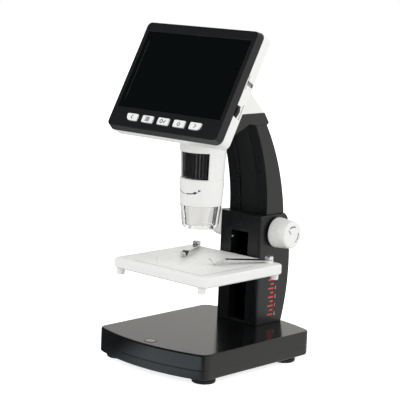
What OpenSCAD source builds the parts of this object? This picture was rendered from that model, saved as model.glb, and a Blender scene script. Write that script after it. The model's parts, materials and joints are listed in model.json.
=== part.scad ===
// Digital microscope with a flat screen: a weighted base, a hollow column and arm, a rack-driven
// stage with two slide clips, and a viewing head that hangs from the arm behind a tilted screen.
// Millimetres. The origin is on the table, under the middle of the whole; +Z up, +Y towards the
// column. The pieces are drawn from the optical axis, and at_axis() moves them to the origin.

/* [Base] */
// Width of the base between its straight sides
base_w = 104.8; // [94:0.1:112]
// Length of the base on its centre line
base_len = 132.3; // [130:0.1:150]
// Ledge of the base behind the column's foot
base_ledge = 4.1; // [2:0.1:8]
// Radius of the bowed front edge
base_front_r = 144; // [100:1:200]
// Radius of the bowed back edge
base_back_r = 145; // [100:1:200]
// Radius of the base's upright corners
base_corner_r = 7; // [5:0.5:9]
// Height of the base above its feet
base_h = 18; // [15.5:0.1:20]
// Height of the tray, up to the seam
tray_h = 6.8; // [5:0.1:7.6]
// Wall thickness of the base's two shells
base_wall = 2.4; // [2:0.1:3]
// Width of the chamfer along the base's edges
base_edge = 1; // [0.5:0.1:1.4]
// Radius of a rubber foot
foot_r = 8.4; // [6:0.1:9]
// Height of a rubber foot
foot_h = 4.1; // [3:0.1:6]
// Distance from a foot's centre to the base's side
foot_side = 10.4; // [9.6:0.1:13]
// Distance from a front foot's centre to the base's front edge
foot_end = 19.8; // [19:0.1:25]
// Distance from a back foot's centre to the base's back edge
foot_back_end = 26.1; // [19:0.1:30]
// Thickness of the steel weight
weight_t = 7; // [5:0.1:7.5]
// Radius of the round badge
badge_r = 4.5; // [3:0.1:6]
// Distance from the badge's centre to the front edge
badge_in = 9.2; // [8:0.1:16]

/* [Column] */
// Width of the column
column_w = 39.5; // [33.5:0.1:40]
// Distance from the optical axis to the column's front face
column_front = 43.8; // [42.5:0.1:47]
// Height of the column above the base
column_h = 82.1; // [80:0.1:90]
// Depth of the column where its back bulges most
column_depth = 35.3; // [34:0.1:38]
// Height of that bulge above the base
column_bulge = 43.6; // [38:0.1:48]
// Radius of the column's bowed back
column_back_r = 152; // [145:1:260]
// Wall thickness of the column
column_wall = 2.4; // [2:0.1:3]
// Radius of the column's upright front edges
column_edge_r = 2.5; // [1:0.1:3]
// Width of the front groove
groove_w = 16.4; // [15:0.1:18]
// Depth of the front groove
groove_d = 8.5; // [8.2:0.1:9.1]
// Height of the groove's foot above the base
groove_foot = 2.1; // [1.5:0.1:4]
// Height of the groove's head below the column's top
groove_head = 13.5; // [12:0.1:15]
// Thickness of the slotted plate behind the groove
guide_t = 1.5; // [1.2:0.1:1.6]

/* [Arm] */
// Width of the arm
arm_w = 36.4; // [34:0.1:37]
// Height of the arm from the column to the hood
arm_h = 67; // [64:0.1:72]
// Radius of the arm's hollow front
arm_front_r = 137.5; // [125:0.1:150]
// Setback of the arm behind the column's front face
arm_setback = 8.3; // [8.1:0.1:8.7]
// Height above the column at which the front is furthest back
arm_front_bulge = 1; // [0:0.1:4]
// Radius of the arm's bowed back
arm_back_r = 151.7; // [145:0.1:185]
// Distance from the column's front face to the arm's furthest back
arm_back = 28.9; // [28.4:0.1:31]
// Depth of that point below the column's top
arm_back_bulge = 16.9; // [14:0.1:24]
// Wall thickness of the arm
arm_wall = 2; // [1.6:0.1:2.1]
// Width of the channel along the arm's front
channel_w = 16.4; // [14:0.1:18]
// Depth of that channel
channel_d = 1; // [0.8:0.1:2]
// Thickness of the cover strip in the channel
strip_t = 1.2; // [1:0.1:1.3]
// Height of the hood on top of the arm
hood_h = 8.9; // [8:0.1:11]
// Width of the hood
hood_w = 37.2; // [36.8:0.1:40]
// Slope of the hood's underside towards the head, in degrees
hood_slope = 23; // [20:0.1:28]

/* [Stage] */
// Width of the stage plate
stage_w = 90.6; // [84:0.1:100]
// Depth of the stage plate
stage_depth = 84.6; // [80:0.1:85]
// Thickness of the stage plate
stage_t = 7.5; // [7:0.1:9]
// Height of the stage's top above the base, as drawn
stage_up = 51.7; // [50:0.1:53]
// Radius of the stage's upright corners
stage_corner_r = 5; // [4:0.5:8]
// Width of the chamfer round the stage's edges
stage_edge = 1; // [0.4:0.1:1.4]
// Radius of the round insert in the stage
disc_r = 30; // [25:0.5:32]
// Thickness of the round insert
disc_t = 2; // [1.5:0.1:3]
// Radius of a peg under the stage
peg_r = 3; // [2.4:0.1:3.4]
// Length of a peg below the stage
peg_h = 4.4; // [3:0.1:6]
// Distance of a peg's centre from the stage's sides
peg_in = 6; // [5.5:0.1:8]
// Distance of a peg's centre from the stage's front or back edge
peg_end = 3.5; // [3.5:0.1:6]
// Travel of the stage upwards from where it is drawn
stage_rise = 14; // [11:0.5:14]
// Travel of the stage downwards from where it is drawn
stage_drop = 32; // [20:0.5:32]
// Distance of a clip post from the stage's side
post_side = 9.8; // [9:0.1:12]
// Distance of a clip post from the stage's back edge
post_back = 5.9; // [5.5:0.1:8]
// Radius of the clip posts' heads and bushes
post_r = 3; // [2.6:0.1:3.4]
// Height of the white bush under a clip
bush_h = 1.7; // [1.2:0.1:2.5]
// Height of a clip post's knurled head
post_head_h = 2.3; // [1.8:0.1:3]
// Distance from a clip's post to where it presses on the slide
clip_reach = 42; // [36:0.5:44]
// Width of the clip at its post
clip_w = 6.4; // [5:0.1:7]
// Width of the clip at its tip
clip_tip_w = 4; // [3:0.1:5]
// Thickness of the clips' spring steel
clip_t = 0.5; // [0.4:0.1:0.6]
// Angle of the left clip, inwards from straight forward
clip_left_angle = 30; // [22:1:34]
// Angle of the right clip, inwards from straight forward
clip_right_angle = 25; // [22:1:34]

/* [Focus drive] */
// Distance of the knob shaft below the column's top
shaft_drop = 13.0; // [12.6:0.1:14]
// Radius of the knob shaft
shaft_r = 1.5; // [1.3:0.1:1.6]
// Teeth on the pinion
pinion_teeth = 12; // [12:1:12]
// Module of the rack and pinion
gear_module = 0.5; // [0.5:0.05:0.5]
// Length of the pinion
pinion_len = 8; // [6:0.5:12]
// Width of the rack
rack_w = 7; // [6:0.5:8]
// Thickness of the rack behind its teeth
rack_t = 1.175; // [1:0.005:1.2]
// Radius of a knob next to the column
knob_r = 11.3; // [10:0.1:13]
// Radius of a knob's outer face
knob_face_r = 10.2; // [9:0.1:12]
// Length of a knob
knob_len = 15; // [11:0.1:18]
// Radius of the collar between knob and column
collar_r = 9; // [6:0.1:9.5]
// Thickness of that collar
collar_t = 1.2; // [1.2:0.1:2]

/* [Head] */
// Radius of the head housing at its top
tube_r = 16.7; // [16:0.1:16.8]
// Radius of the head housing at its lower end
tube_low_r = 15.8; // [15:0.1:15.8]
// Length of the head housing below the arm's hood top
tube_len = 46.6; // [45:0.1:50]
// Length of the housing's tapered part
tube_taper = 21; // [20.6:0.1:24]
// Wall thickness of the head
head_wall = 1.5; // [1.2:0.1:1.6]
// Height of the window for the focus wheel
window_h = 19; // [16:0.1:19.4]
// Half the angle of that window, in degrees
window_half = 60; // [50:1:66]
// Length of the lower sleeve
sleeve_len = 18.5; // [17.5:0.1:22]
// Radius of the sleeve at its step
sleeve_r = 16.1; // [15.9:0.05:16.2]
// Radius of the sleeve at its lower end
sleeve_low_r = 15.0; // [14.6:0.1:15.4]
// Radius of the ribbed focus wheel
wheel_r = 13.1; // [12.6:0.1:13.8]
// Ribs on the focus wheel
wheel_ribs = 30; // [20:1:40]
// Radius of the lens barrel
barrel_r = 6.5; // [5.5:0.1:6.8]
// Length of the lens barrel
barrel_len = 20; // [16:0.5:21]
// Lens travel each way from the middle
lens_travel = 2.5; // [2:0.1:2.5]
// White lamps in the ring
led_count = 8; // [4:1:10]
// Visible length of the clear cap
cap_len = 17.3; // [15:0.1:18.4]
// Radius of the clear cap's lower rim
cap_low_r = 11.2; // [10.4:0.1:12.4]
// Wall thickness of the clear cap
cap_wall = 1.4; // [1.2:0.1:1.6]

/* [Screen] */
// Tilt of the screen from upright, in degrees
screen_tilt = 28.6; // [26:0.1:30]
// Width of the screen's face
face_w = 104; // [103:0.1:110]
// Height of the screen's face
face_h = 81.5; // [80.4:0.1:84]
// Distance from the optical axis forward to the face's lower edge
face_forward = 45.5; // [44.5:0.1:46.5]
// Depth of the face's lower edge below the hood's top
face_below = 10.9; // [10:0.1:12]
// Growth of the bezel from its face to its seam, on each side
bezel_flare = 1.5; // [0.8:0.1:2]
// Depth of the bezel
bezel_d = 5.6; // [5.4:0.1:6]
// Depth of the whole screen body
screen_d = 15.5; // [15.2:0.1:17]
// Wall thickness of the screen's two shells
screen_wall = 1.6; // [1.4:0.1:1.9]
// Thickness of the bezel's face
bezel_t = 2; // [1.8:0.1:2.1]
// Corner radius of the screen's face
face_corner_r = 3.5; // [2.5:0.1:5]
// Width of the display window
window_w = 97; // [94:0.1:97.4]
// Height of the display window
display_h = 59.8; // [56:0.1:60]
// Height of the display window's lower edge on the face
display_v = 14.8; // [14.5:0.1:15]
// Thickness of the display's cover glass
glass_t = 1.1; // [0.8:0.1:1.2]
// Thickness of the display panel
panel_t = 3; // [2.5:0.1:3.2]
// Width of a button
button_w = 10.3; // [8:0.1:11]
// Height of a button
button_h = 5.2; // [4.2:0.1:5.6]
// Height of the buttons' lower edge on the face
button_v = 5.2; // [5:0.1:5.4]
// Distance between two buttons' centres
button_pitch = 15; // [14:0.1:15.6]
// How far a button stands proud of the face
button_proud = 0.8; // [0.6:0.1:1.2]
// Travel of a button
button_travel = 0.6; // [0.3:0.1:0.6]
// Radius of the lamp dimmer's thumbwheel
dimmer_r = 7; // [6.6:0.1:7.4]
// Thickness of the thumbwheel
dimmer_t = 3; // [2.4:0.1:3]
// Height of the thumbwheel's centre on the face
dimmer_v = 25.3; // [25:0.1:27]
// How far the thumbwheel stands out of the side
dimmer_out = 0.9; // [0.6:0.1:1]
// Reach of the screen's back block behind the optical axis
block_back = 43.2; // [42:0.1:43.8]
// Height on the face at which the back block meets the screen
block_top_v = 66.8; // [64:0.1:70]
// Width of the battery
battery_w = 26; // [20:0.5:30]
// Length of the battery
battery_len = 32; // [25:0.5:34]
// Thickness of the battery
battery_t = 8; // [5:0.5:8]

/* [Hidden] */
$fn = 72;

// Clearances: sliding flats, running shafts, parts that only pass each other, and a hair for cuts
slide_fit = 0.15;
run_fit = 0.05;
free_gap = 0.3;
eps = 0.01;
big_fn = 360;

// Heights
base_bottom = foot_h;
seam_z = base_bottom + tray_h;
base_top = base_bottom + base_h;
column_top = base_top + column_h;
hood_base = column_top + arm_h;
hood_top = hood_base + hood_h;
stage_top = base_top + stage_up;
stage_bottom = stage_top - stage_t;
groove_low = base_top + groove_foot;
groove_high = column_top - groove_head;
tube_bottom = hood_top - tube_len;
sleeve_bottom = tube_bottom - sleeve_len;
cap_bottom = sleeve_bottom - cap_len;

// Base: its back edge lies a ledge behind the column's foot
function arc_y(arc, r, z) = arc[0] + sqrt(r * r - (z - arc[1]) * (z - arc[1]));
column_arc = [column_front + column_depth - column_back_r, base_top + column_bulge];
base_back = arc_y(column_arc, column_back_r, base_top) + base_ledge;
base_front = base_len - base_back;
foot_x = base_w / 2 - foot_side;
foot_front_y = -base_front + foot_end;
foot_back_y = base_back - foot_back_end;
foot_spigot_r = foot_r - 3;
foot_spigot_h = 1.2;
tray_floor = base_bottom + base_wall;
cover_inside = base_top - base_wall;
weight_margin = 22;
weight_w = base_w - 2 * weight_margin;
weight_front = -base_front + weight_margin + 2;
weight_back = column_front - 8;
base_screw_side = 8.5;
base_screw_gap = 6;
base_screw_x = base_w / 2 - base_screw_side;
base_screw_ys = [foot_front_y + foot_r + base_screw_gap, foot_back_y - foot_r - base_screw_gap];
badge_y = -base_front + badge_in;
badge_t = 0.8;
badge_proud = 0.2;

// Screws: thread radius, head radius and head height
m3_r = 1.4;
m3_head_r = 2.7;
m3_head_h = 1.6;
m2_r = 0.9;
m2_head_r = 1.7;
m2_head_h = 1;
screw_fit = 0.05;
boss_r = 3.1;

// Column
shoulder = 3.4;
groove_wall = 3;
groove_back = column_front + groove_d;
guide_back = groove_back + guide_t;
guide_w = groove_w + 2 * groove_wall + 1.6;
guide_low = groove_low - 1;
guide_high = groove_high + 1.8;
guide_screw_x = groove_w / 2 + groove_wall / 2 + 0.2;
column_screw_x = column_w / 2 - column_wall - boss_r + 0.8;
column_screw_ys = [guide_back + boss_r + m2_head_h + 0.2,
                   column_front + column_depth - 2 * boss_r - column_wall - 4];

// Arm: curves in the side view, and the hollow spigot that plugs into the column
arm_front_arc = [column_front + arm_setback - arm_front_r, column_top + arm_front_bulge];
arm_back_arc = [column_front + arm_back - arm_back_r, column_top - arm_back_bulge];
arm_foot_front = arc_y(arm_front_arc, arm_front_r, column_top);
arm_foot_back = arc_y(arm_back_arc, arm_back_r, column_top);
arm_head_front = arc_y(arm_front_arc, arm_front_r, hood_base);
arm_head_back = arc_y(arm_back_arc, arm_back_r, hood_base);
spigot_h = 7;
spigot_wall = 2;
spigot_w = arm_w - 5.6;
spigot_front = arm_foot_front + 2.1;
spigot_back = arm_foot_back - 2.1;
arm_screw_x = spigot_w / 2 - 5.5;
arm_screw_z = column_top - 4.6;
neck_pin_w = arm_w - 6.4;
neck_pin_front = arm_head_front + 2;
neck_pin_back = arm_head_back - 3.6;
neck_pin_h = hood_h - 2.6;
strip_ledge = 1;
channel_top = hood_base - 3.4;
hood_screw_x = neck_pin_w / 2 - 4;
hood_screw_y = (neck_pin_front + neck_pin_back) / 2;

// Hood: points of its side view, and the cradle round the head
hood_front = 2;
hood_lip = 7;
cradle_r = tube_r + 0.2;

// Rack, pinion and stage slide
pitch_r = gear_module * pinion_teeth / 2;
pinion_tip_r = pitch_r + gear_module;
pinion_root_r = pitch_r - 1.25 * gear_module;
shaft_z = column_top - shaft_drop;
rack_back = guide_back + slide_fit + 2.65;
rack_root = rack_back + rack_t;
rack_pitch = rack_root + 1.25 * gear_module;
rack_tip = rack_pitch + 0.35 * 2 * gear_module;
shaft_y = rack_pitch + pitch_r;
tooth_pitch = PI * gear_module;
pressure = 20;
backlash = 0.12;
block_high = stage_top - 3.3;
block_low = groove_low + stage_drop + 0.1;
web_high = block_high - 1;
web_low = block_low + 1;
web_w = 5.5;
tongue_t = 4;
tongue_w = 28;
tongue_len = 23;
tongue_front = column_front - tongue_len;
tongue_screw_x = 9;
tongue_screw_in = 4;
tongue_screw_pitch = 12;
tongue_screws = [for (x = [-tongue_screw_x, tongue_screw_x], y = [0, tongue_screw_pitch])
    [x, tongue_front + tongue_screw_in + y]];
rack_teeth_low = shaft_z - stage_rise - 4;
rack_high = shaft_z + stage_drop + 4;
keeper_screw_zs = [web_low + 3.4, web_high - 3.4];
stop_z = block_high + stage_rise + 0.2 + m2_r;
stop_y = column_front + 1.4;
knob_x = column_w / 2 + collar_t + 0.4;
bush_r = shaft_r + 1.9;
grub_r = 1;
grub_len = 5;

// Clips: seen from the side, from the post to the tip
post_x = stage_w / 2 - post_side;
post_y = stage_depth / 2 - post_back;
post_pin_r = 1.5;
clip_z = stage_top + bush_h + run_fit;
clip_arch = 1.6;
clip_bend = 7;
clip_tail = 5.2;
clip_lift = 4.6;
clip_side_view = [[-post_r, clip_z], [post_r + 1.5, clip_z],
    [clip_reach - clip_bend - 1.5, clip_z + clip_arch],
    [clip_reach - clip_bend, clip_z + clip_arch - 0.2], [clip_reach - 0.8, stage_top + 0.3],
    [clip_reach, stage_top + 0.1], [clip_reach + 0.8, stage_top + 0.4],
    [clip_reach + clip_tail + 0.2, stage_top + clip_lift]];

// Head
bevel_top = tube_bottom + tube_taper;
window_low = tube_bottom + 0.6;
window_top = window_low + window_h;
sleeve_bore = sleeve_low_r - head_wall;
wheel_low = window_low + 0.4;
wheel_high = window_top - 0.4;
guide_r = barrel_r + run_fit + 1.5;
guide_bottom = sleeve_bottom + lens_travel + 2.7;
shelf_low = window_top + 0.2;
shelf_t = 1.4;
led_z = guide_bottom - 1.6;
led_pcb_t = 1.2;
led_size = 2;
led_h = 0.9;
led_ring_r = (guide_r + sleeve_bore - 1) / 2;
cap_spigot_h = 2.5;
cap_spigot_r = sleeve_bore - 0.1;
cap_knee_h = 4.2;
cap_belly_h = 9.6;
cap_rim_h = 3.4;
barrel_bottom = guide_bottom + 0.2;
sensor_z = shelf_low + shelf_t;
sensor_pcb_t = 1.2;
lid_low = hood_top - 2.4;
ribbon_hole_r = 8;

// Screen: u to the right, v up the face, d inwards from the face
screen_y = -face_forward;
screen_z = hood_top - face_below;
function on_face(v, d) = [screen_y + v * sin(screen_tilt) + d * cos(screen_tilt),
                          screen_z + v * cos(screen_tilt) - d * sin(screen_tilt)];
function v_at(y, d) = (y - screen_y - d * cos(screen_tilt)) / sin(screen_tilt);
seam_w = face_w + 2 * bezel_flare;
display_top = display_v + display_h;
panel_w = face_w - 2 * screen_wall - 0.4;
panel_v0 = display_v - 1.8;
panel_v1 = display_top + 1.8;
board_d = 9.9;
board_t = 1.2;
button_board_d = bezel_t + 4.4;
switch_top_d = bezel_t + 0.9 + button_travel + 0.2;
battery_back = block_back - 15;
ribbon_w = 6;
ribbon_t = 0.2;
ribbon_rise = 6;
host_boss_r = 1.8;
host_screw_vs = [4.4, face_h - 3.2];
host_screw_u = face_w / 2 - 5.5;
dimmer_u = seam_w / 2 + dimmer_out - dimmer_r;
dimmer_d = bezel_d + 0.6;
spindle_r = 1.15;
port_v = 45;
port_h = 3.1;
port_d = 7.1;
port_len = 6.5;
card_v = 21;
card_h = 11;
card_d = 11.5;
card_t = 1;

// Place of the optical axis before the middle of the whole depth, from the base's front to the
// column's back
axis_y = (base_front - column_front - column_depth) / 2;

// ---------- shared shapes ----------

module at_axis() translate([0, axis_y, 0]) children();

function unit(v) = v / norm(v);

// Arc that rounds the corner p between its neighbours a and b
function corner_arc(a, p, b, r, n) =
    let (u = unit(a - p), v = unit(b - p), half = acos(u * v) / 2,
         c = p + unit(u + v) * r / sin(half), s = p + u * r / tan(half) - c,
         start = atan2(s[1], s[0]), turn = (180 - 2 * half) * (cross(u, v) > 0 ? -1 : 1))
    [for (i = [0:n]) c + r * [cos(start + turn * i / n), sin(start + turn * i / n)]];

// Closed outline from corners given as [x, y, radius]
function rounded(corners, n = 6) =
    let (m = len(corners), p = [for (q = corners) [q[0], q[1]]])
    [for (i = [0:m - 1])
        each corners[i][2] == 0 ? [p[i]]
            : corner_arc(p[(i + m - 1) % m], p[i], p[(i + 1) % m], corners[i][2], n)];

function rounded_box(x0, y0, x1, y1, r, n = 6) =
    rounded([[x0, y0, r], [x1, y0, r], [x1, y1, r], [x0, y1, r]], n);

// Outline of a strip of thickness t whose lower side follows the given points
function strip(points, t) =
    let (m = len(points),
         way = [for (i = [0:m - 2]) unit(points[i + 1] - points[i])],
         lift = [for (i = [0:m - 1])
             let (a = way[max(i - 1, 0)], b = way[min(i, m - 2)], n = unit([-a[1] - b[1], a[0] + b[0]]))
             n * t / (n * [-a[1], a[0]])])
    concat(points, [for (i = [m - 1:-1:0]) points[i] + lift[i]]);

module slab(outline, z0, z1)
    translate([0, 0, z0]) linear_extrude(z1 - z0) polygon(outline);

// Plate drawn in the side view (y, z), w wide and centred on x
module side(w, x = 0)
    translate([x - w / 2, 0, 0]) rotate([90, 0, 90]) linear_extrude(w) children();

// Side-view disc centred on an arc's centre
module side_disc(arc, r)
    translate(arc) circle(r, $fn = big_fn);

module box(x0, x1, y0, y1, z0, z1)
    translate([x0, y0, z0]) cube([x1 - x0, y1 - y0, z1 - z0]);

// Tube or disc about the Z axis
module ring(r, bore, z0, z1)
    translate([0, 0, z0]) difference() {
        cylinder(r = r, h = z1 - z0);
        if (bore > 0) translate([0, 0, -1]) cylinder(r = bore, h = z1 - z0 + 2);
    }

// Screw whose head sits on z = 0 and whose thread points up
module screw(r, length, head_r, head_h) {
    translate([0, 0, -head_h]) cylinder(r = head_r, h = head_h, $fn = 32);
    translate([0, 0, -eps]) cylinder(r = r, h = length + eps, $fn = 32);
}

module bore(r, length) translate([0, 0, -eps]) cylinder(r = r, h = length + eps, $fn = 32);

module mirrored() {
    children();
    mirror([1, 0, 0]) children();
}

// Places a drawing made in (u, v, -d) on the tilted screen
module on_screen()
    translate([0, screen_y, screen_z]) rotate([90 - screen_tilt, 0, 0]) children();

// Block on the screen between two depths
module screen_box(u0, u1, v0, v1, d0, d1)
    on_screen() translate([u0, v0, -d1]) cube([u1 - u0, v1 - v0, d1 - d0]);

module screen_slab(outline, d0, d1)
    on_screen() translate([0, 0, -d1]) linear_extrude(d1 - d0) polygon(outline);

// ---------- base ----------

function base_outline(inset = 0, n = 12) =
    let (hw = base_w / 2 - inset, fr = base_front_r - inset, br = base_back_r - inset,
         r = base_corner_r - inset)
    rounded(concat(
        [for (i = [0:n]) let (x = -hw + 2 * hw * i / n)
            [x, base_front_r - base_front - sqrt(fr * fr - x * x), (i == 0 || i == n) ? r : 0]],
        [for (i = [0:n]) let (x = hw - 2 * hw * i / n)
            [x, base_back - base_back_r + sqrt(br * br - x * x), (i == 0 || i == n) ? r : 0]]));

module at_base_screws()
    for (x = [-base_screw_x, base_screw_x], y = base_screw_ys) translate([x, y, 0]) children();

module at_column_screws()
    for (x = [-column_screw_x, column_screw_x], y = column_screw_ys) translate([x, y, 0]) children();

module at_feet()
    for (x = [-foot_x, foot_x], y = [foot_front_y, foot_back_y]) translate([x, y, 0]) children();

module base_top_cover() at_axis() color([0.09, 0.09, 0.1]) difference() {
    union() {
        difference() {
            hull() {
                slab(base_outline(), seam_z, base_top - base_edge);
                slab(base_outline(base_edge), base_top - base_edge, base_top);
            }
            slab(base_outline(base_wall), seam_z - 1, cover_inside);
        }
        at_base_screws() translate([0, 0, seam_z]) cylinder(r = boss_r, h = cover_inside - seam_z + eps);
    }
    at_base_screws() translate([0, 0, seam_z]) bore(m3_r + screw_fit, cover_inside - seam_z - 1);
    at_column_screws() translate([0, 0, cover_inside - 1]) bore(m3_r + screw_fit, base_wall + 2);
    translate([0, badge_y, base_top + badge_proud - badge_t])
        cylinder(r = badge_r + screw_fit, h = badge_t + 1);
}

module base_tray() at_axis() color([0.08, 0.08, 0.09]) difference() {
    union() {
        difference() {
            hull() {
                slab(base_outline(base_edge), base_bottom, base_bottom + base_edge);
                slab(base_outline(), base_bottom + base_edge, seam_z);
            }
            slab(base_outline(base_wall), tray_floor, seam_z + 1);
        }
        at_base_screws() translate([0, 0, base_bottom + eps]) cylinder(r = boss_r, h = tray_h - eps);
    }
    at_base_screws() {
        translate([0, 0, base_bottom]) bore(m3_head_r + free_gap, m3_head_h + 0.6);
        translate([0, 0, base_bottom]) bore(m3_r + screw_fit, tray_h + 1);
    }
    at_feet() translate([0, 0, base_bottom]) bore(foot_spigot_r + screw_fit, foot_spigot_h);
}

module base_weight() at_axis() color([0.5, 0.51, 0.53])
    box(-weight_w / 2, weight_w / 2, weight_front, weight_back, tray_floor, tray_floor + weight_t);

module rubber_feet() at_axis() color([0.05, 0.05, 0.05]) at_feet() {
    rotate_extrude() polygon([[0, 0], [foot_r - 0.8, 0], [foot_r, 0.8], [foot_r, foot_h], [0, foot_h]]);
    translate([0, 0, foot_h - eps]) cylinder(r = foot_spigot_r, h = foot_spigot_h - 0.1 + eps);
}

module base_badge() at_axis() color([0.75, 0.76, 0.78])
    translate([0, badge_y, base_top + badge_proud - badge_t]) difference() {
        cylinder(r = badge_r, h = badge_t);
        translate([0, 0, badge_t - 0.2]) cylinder(r = badge_r - 0.7, h = 1);
    }

// Four screws hold the two base shells together, four more hold the column on the cover
module base_screws() at_axis() color([0.6, 0.6, 0.62]) {
    at_base_screws() translate([0, 0, base_bottom + m3_head_h + 0.6])
        screw(m3_r, cover_inside - base_bottom - m3_head_h - 3, m3_head_r, m3_head_h);
    at_column_screws() translate([0, 0, cover_inside]) screw(m3_r, base_wall + 9, m3_head_r, m3_head_h);
}

// ---------- column ----------

// Side view of the column, drawn in by a margin
module column_view(margin, top) intersection() {
    side_disc(column_arc, column_back_r - margin);
    polygon([[column_front + margin, base_top - 1], [column_front + margin, top],
             [arm_foot_back - margin, top], [arm_foot_back + shoulder - margin, top - shoulder],
             [column_front + 2 * column_depth, top - shoulder - column_depth],
             [column_front + 2 * column_depth, base_top - 1]]);
}

module column_block(margin, low, top) intersection() {
    side(column_w - 2 * margin) column_view(margin, top);
    slab(rounded_box(-column_w / 2 + margin, column_front + margin, column_w / 2 - margin,
        column_front + 2 * column_depth, max(column_edge_r - margin, 0.2)), low, top);
}

module at_guide_screws()
    for (x = [-guide_screw_x, guide_screw_x], z = [guide_low + 5, guide_high - 5])
        translate([x, guide_back, z]) rotate([90, 0, 0]) children();

module at_arm_screws()
    for (x = [-arm_screw_x, arm_screw_x])
        translate([x, arc_y(column_arc, column_back_r, arm_screw_z) - 1.4, arm_screw_z])
            rotate([90, 0, 0]) children();

module spigot_box(grow, low, high)
    box(-spigot_w / 2 - grow, spigot_w / 2 + grow, spigot_front - grow, spigot_back + grow, low, high);

module column_housing() at_axis() color([0.07, 0.07, 0.08]) difference() {
    union() {
        difference() {
            column_block(0, base_top, column_top);
            column_block(column_wall, base_top - 1, column_top - column_wall);
        }
        intersection() {
            column_block(0.5, base_top, column_top - 1);
            union() {
                box(-groove_w / 2 - groove_wall, groove_w / 2 + groove_wall, column_front, groove_back,
                    base_top, groove_high + 3);
                at_column_screws() translate([0, 0, base_top]) cylinder(r = boss_r, h = 12);
            }
        }
    }
    box(-groove_w / 2, groove_w / 2, column_front - 1, guide_back + 1, groove_low, groove_high);
    spigot_box(slide_fit, column_top - column_wall - 1, column_top + 1);
    at_column_screws() translate([0, 0, base_top]) bore(m3_r + screw_fit, 10);
    at_guide_screws() bore(m2_r + screw_fit, guide_t + 6);
    at_arm_screws() {
        bore(m3_r + screw_fit, 6);
        translate([0, 0, -3]) bore(m3_head_r + free_gap, 3);
    }
    translate([-groove_w / 2 + 1, stop_y, stop_z]) rotate([0, -90, 0])
        bore(m2_r + screw_fit, groove_wall + 1);
    translate([-column_w / 2 - 1, shaft_y, shaft_z]) rotate([0, 90, 0])
        cylinder(r = bush_r + screw_fit, h = column_w + 2);
}

module guide_plate() at_axis() color([0.05, 0.05, 0.06]) difference() {
    box(-guide_w / 2, guide_w / 2, groove_back, guide_back, guide_low, guide_high);
    box(-web_w / 2 - slide_fit, web_w / 2 + slide_fit, groove_back - 1, guide_back + 1,
        web_low - stage_drop - 0.2, web_high + stage_rise + 0.2);
    at_guide_screws() bore(m2_r + screw_fit, guide_t + 1);
}

module guide_screws() at_axis() color([0.6, 0.6, 0.62])
    at_guide_screws() screw(m2_r, guide_t + 5, m2_head_r, m2_head_h);

module stop_screw() at_axis() color([0.8, 0.8, 0.82])
    translate([-groove_w / 2 + 1.2, stop_y, stop_z]) rotate([0, -90, 0])
        cylinder(r = m2_r, h = groove_wall + 0.8, $fn = 32);

// ---------- arm ----------

// Side view of the arm between two insets of its front and back curves
module arm_view(front, back, low, high) difference() {
    intersection() {
        side_disc(arm_back_arc, arm_back_r - back);
        translate([0, low]) square([column_front + 2 * column_depth, high - low]);
    }
    side_disc(arm_front_arc, arm_front_r + front);
}

module arm_shell() at_axis() color([0.07, 0.07, 0.08]) difference() {
    union() {
        difference() {
            union() {
                side(arm_w) arm_view(0, 0, column_top, hood_base);
                spigot_box(0, column_top - spigot_h, column_top + eps);
                box(-neck_pin_w / 2, neck_pin_w / 2, neck_pin_front, neck_pin_back,
                    hood_base - eps, hood_base + neck_pin_h);
            }
            side(arm_w - 2 * arm_wall) arm_view(arm_wall, arm_wall, column_top, channel_top);
            box(-spigot_w / 2 + spigot_wall, spigot_w / 2 - spigot_wall, spigot_front + spigot_wall,
                spigot_back - spigot_wall, column_top - spigot_h - 1, column_top + 1);
            side(channel_w) arm_view(-1, arm_wall, column_top - eps, channel_top);
        }
        // walls of the channel, and the ledges that carry its cover strip
        mirrored() {
            side(1.6, channel_w / 2 + 0.8)
                arm_channel(eps, channel_d + strip_t + strip_ledge);
            side(strip_ledge + 0.8, channel_w / 2 - strip_ledge / 2 + 0.4)
                arm_channel(channel_d + strip_t, channel_d + strip_t + strip_ledge);
        }
    }
    at_arm_screws() bore(m3_r + screw_fit, 9);
    for (x = [-1, 1]) translate([x * hood_screw_x, hood_screw_y, hood_base - 3])
        bore(m3_r + screw_fit, neck_pin_h + 4);
}

// Band of the side view that follows the arm's front at the given depths
module arm_channel(from, to) intersection() {
    arm_view(from, arm_wall / 2, column_top, channel_top);
    side_disc(arm_front_arc, arm_front_r + to);
}

module arm_front_cover() at_axis() color([0.05, 0.05, 0.06])
    side(channel_w - 0.1) arm_channel(channel_d, channel_d + strip_t);

// Side view of the hood: cap over the arm's top, running down and forward beside the head
function hood_points() =
    let (under = hood_base + 0.3, throat = arm_head_front - hood_lip)
    [[arm_head_back - 3.5, hood_top], [arm_head_back + 1.8, hood_base + 1.5],
     [arm_head_back + 0.6, hood_base], [arm_head_front, hood_base], [throat, under + 1],
     [hood_front, under + 1 - (throat - hood_front) * tan(hood_slope)], [hood_front, hood_top]];

module arm_hood() at_axis() color([0.07, 0.07, 0.08]) difference() {
    side(hood_w) polygon(hood_points());
    translate([0, 0, hood_top - tube_len]) cylinder(r = cradle_r, h = 2 * tube_len);
    box(-neck_pin_w / 2 - slide_fit, neck_pin_w / 2 + slide_fit, neck_pin_front - slide_fit,
        neck_pin_back + slide_fit, hood_base - 1, hood_base + neck_pin_h + 0.2);
    for (x = [-1, 1]) translate([x * hood_screw_x, hood_screw_y, hood_base + neck_pin_h]) {
        bore(m3_r + screw_fit, 10);
        translate([0, 0, hood_top - m3_head_h - 0.2 - hood_base - neck_pin_h])
            bore(m3_head_r + free_gap, 10);
    }
}

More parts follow.
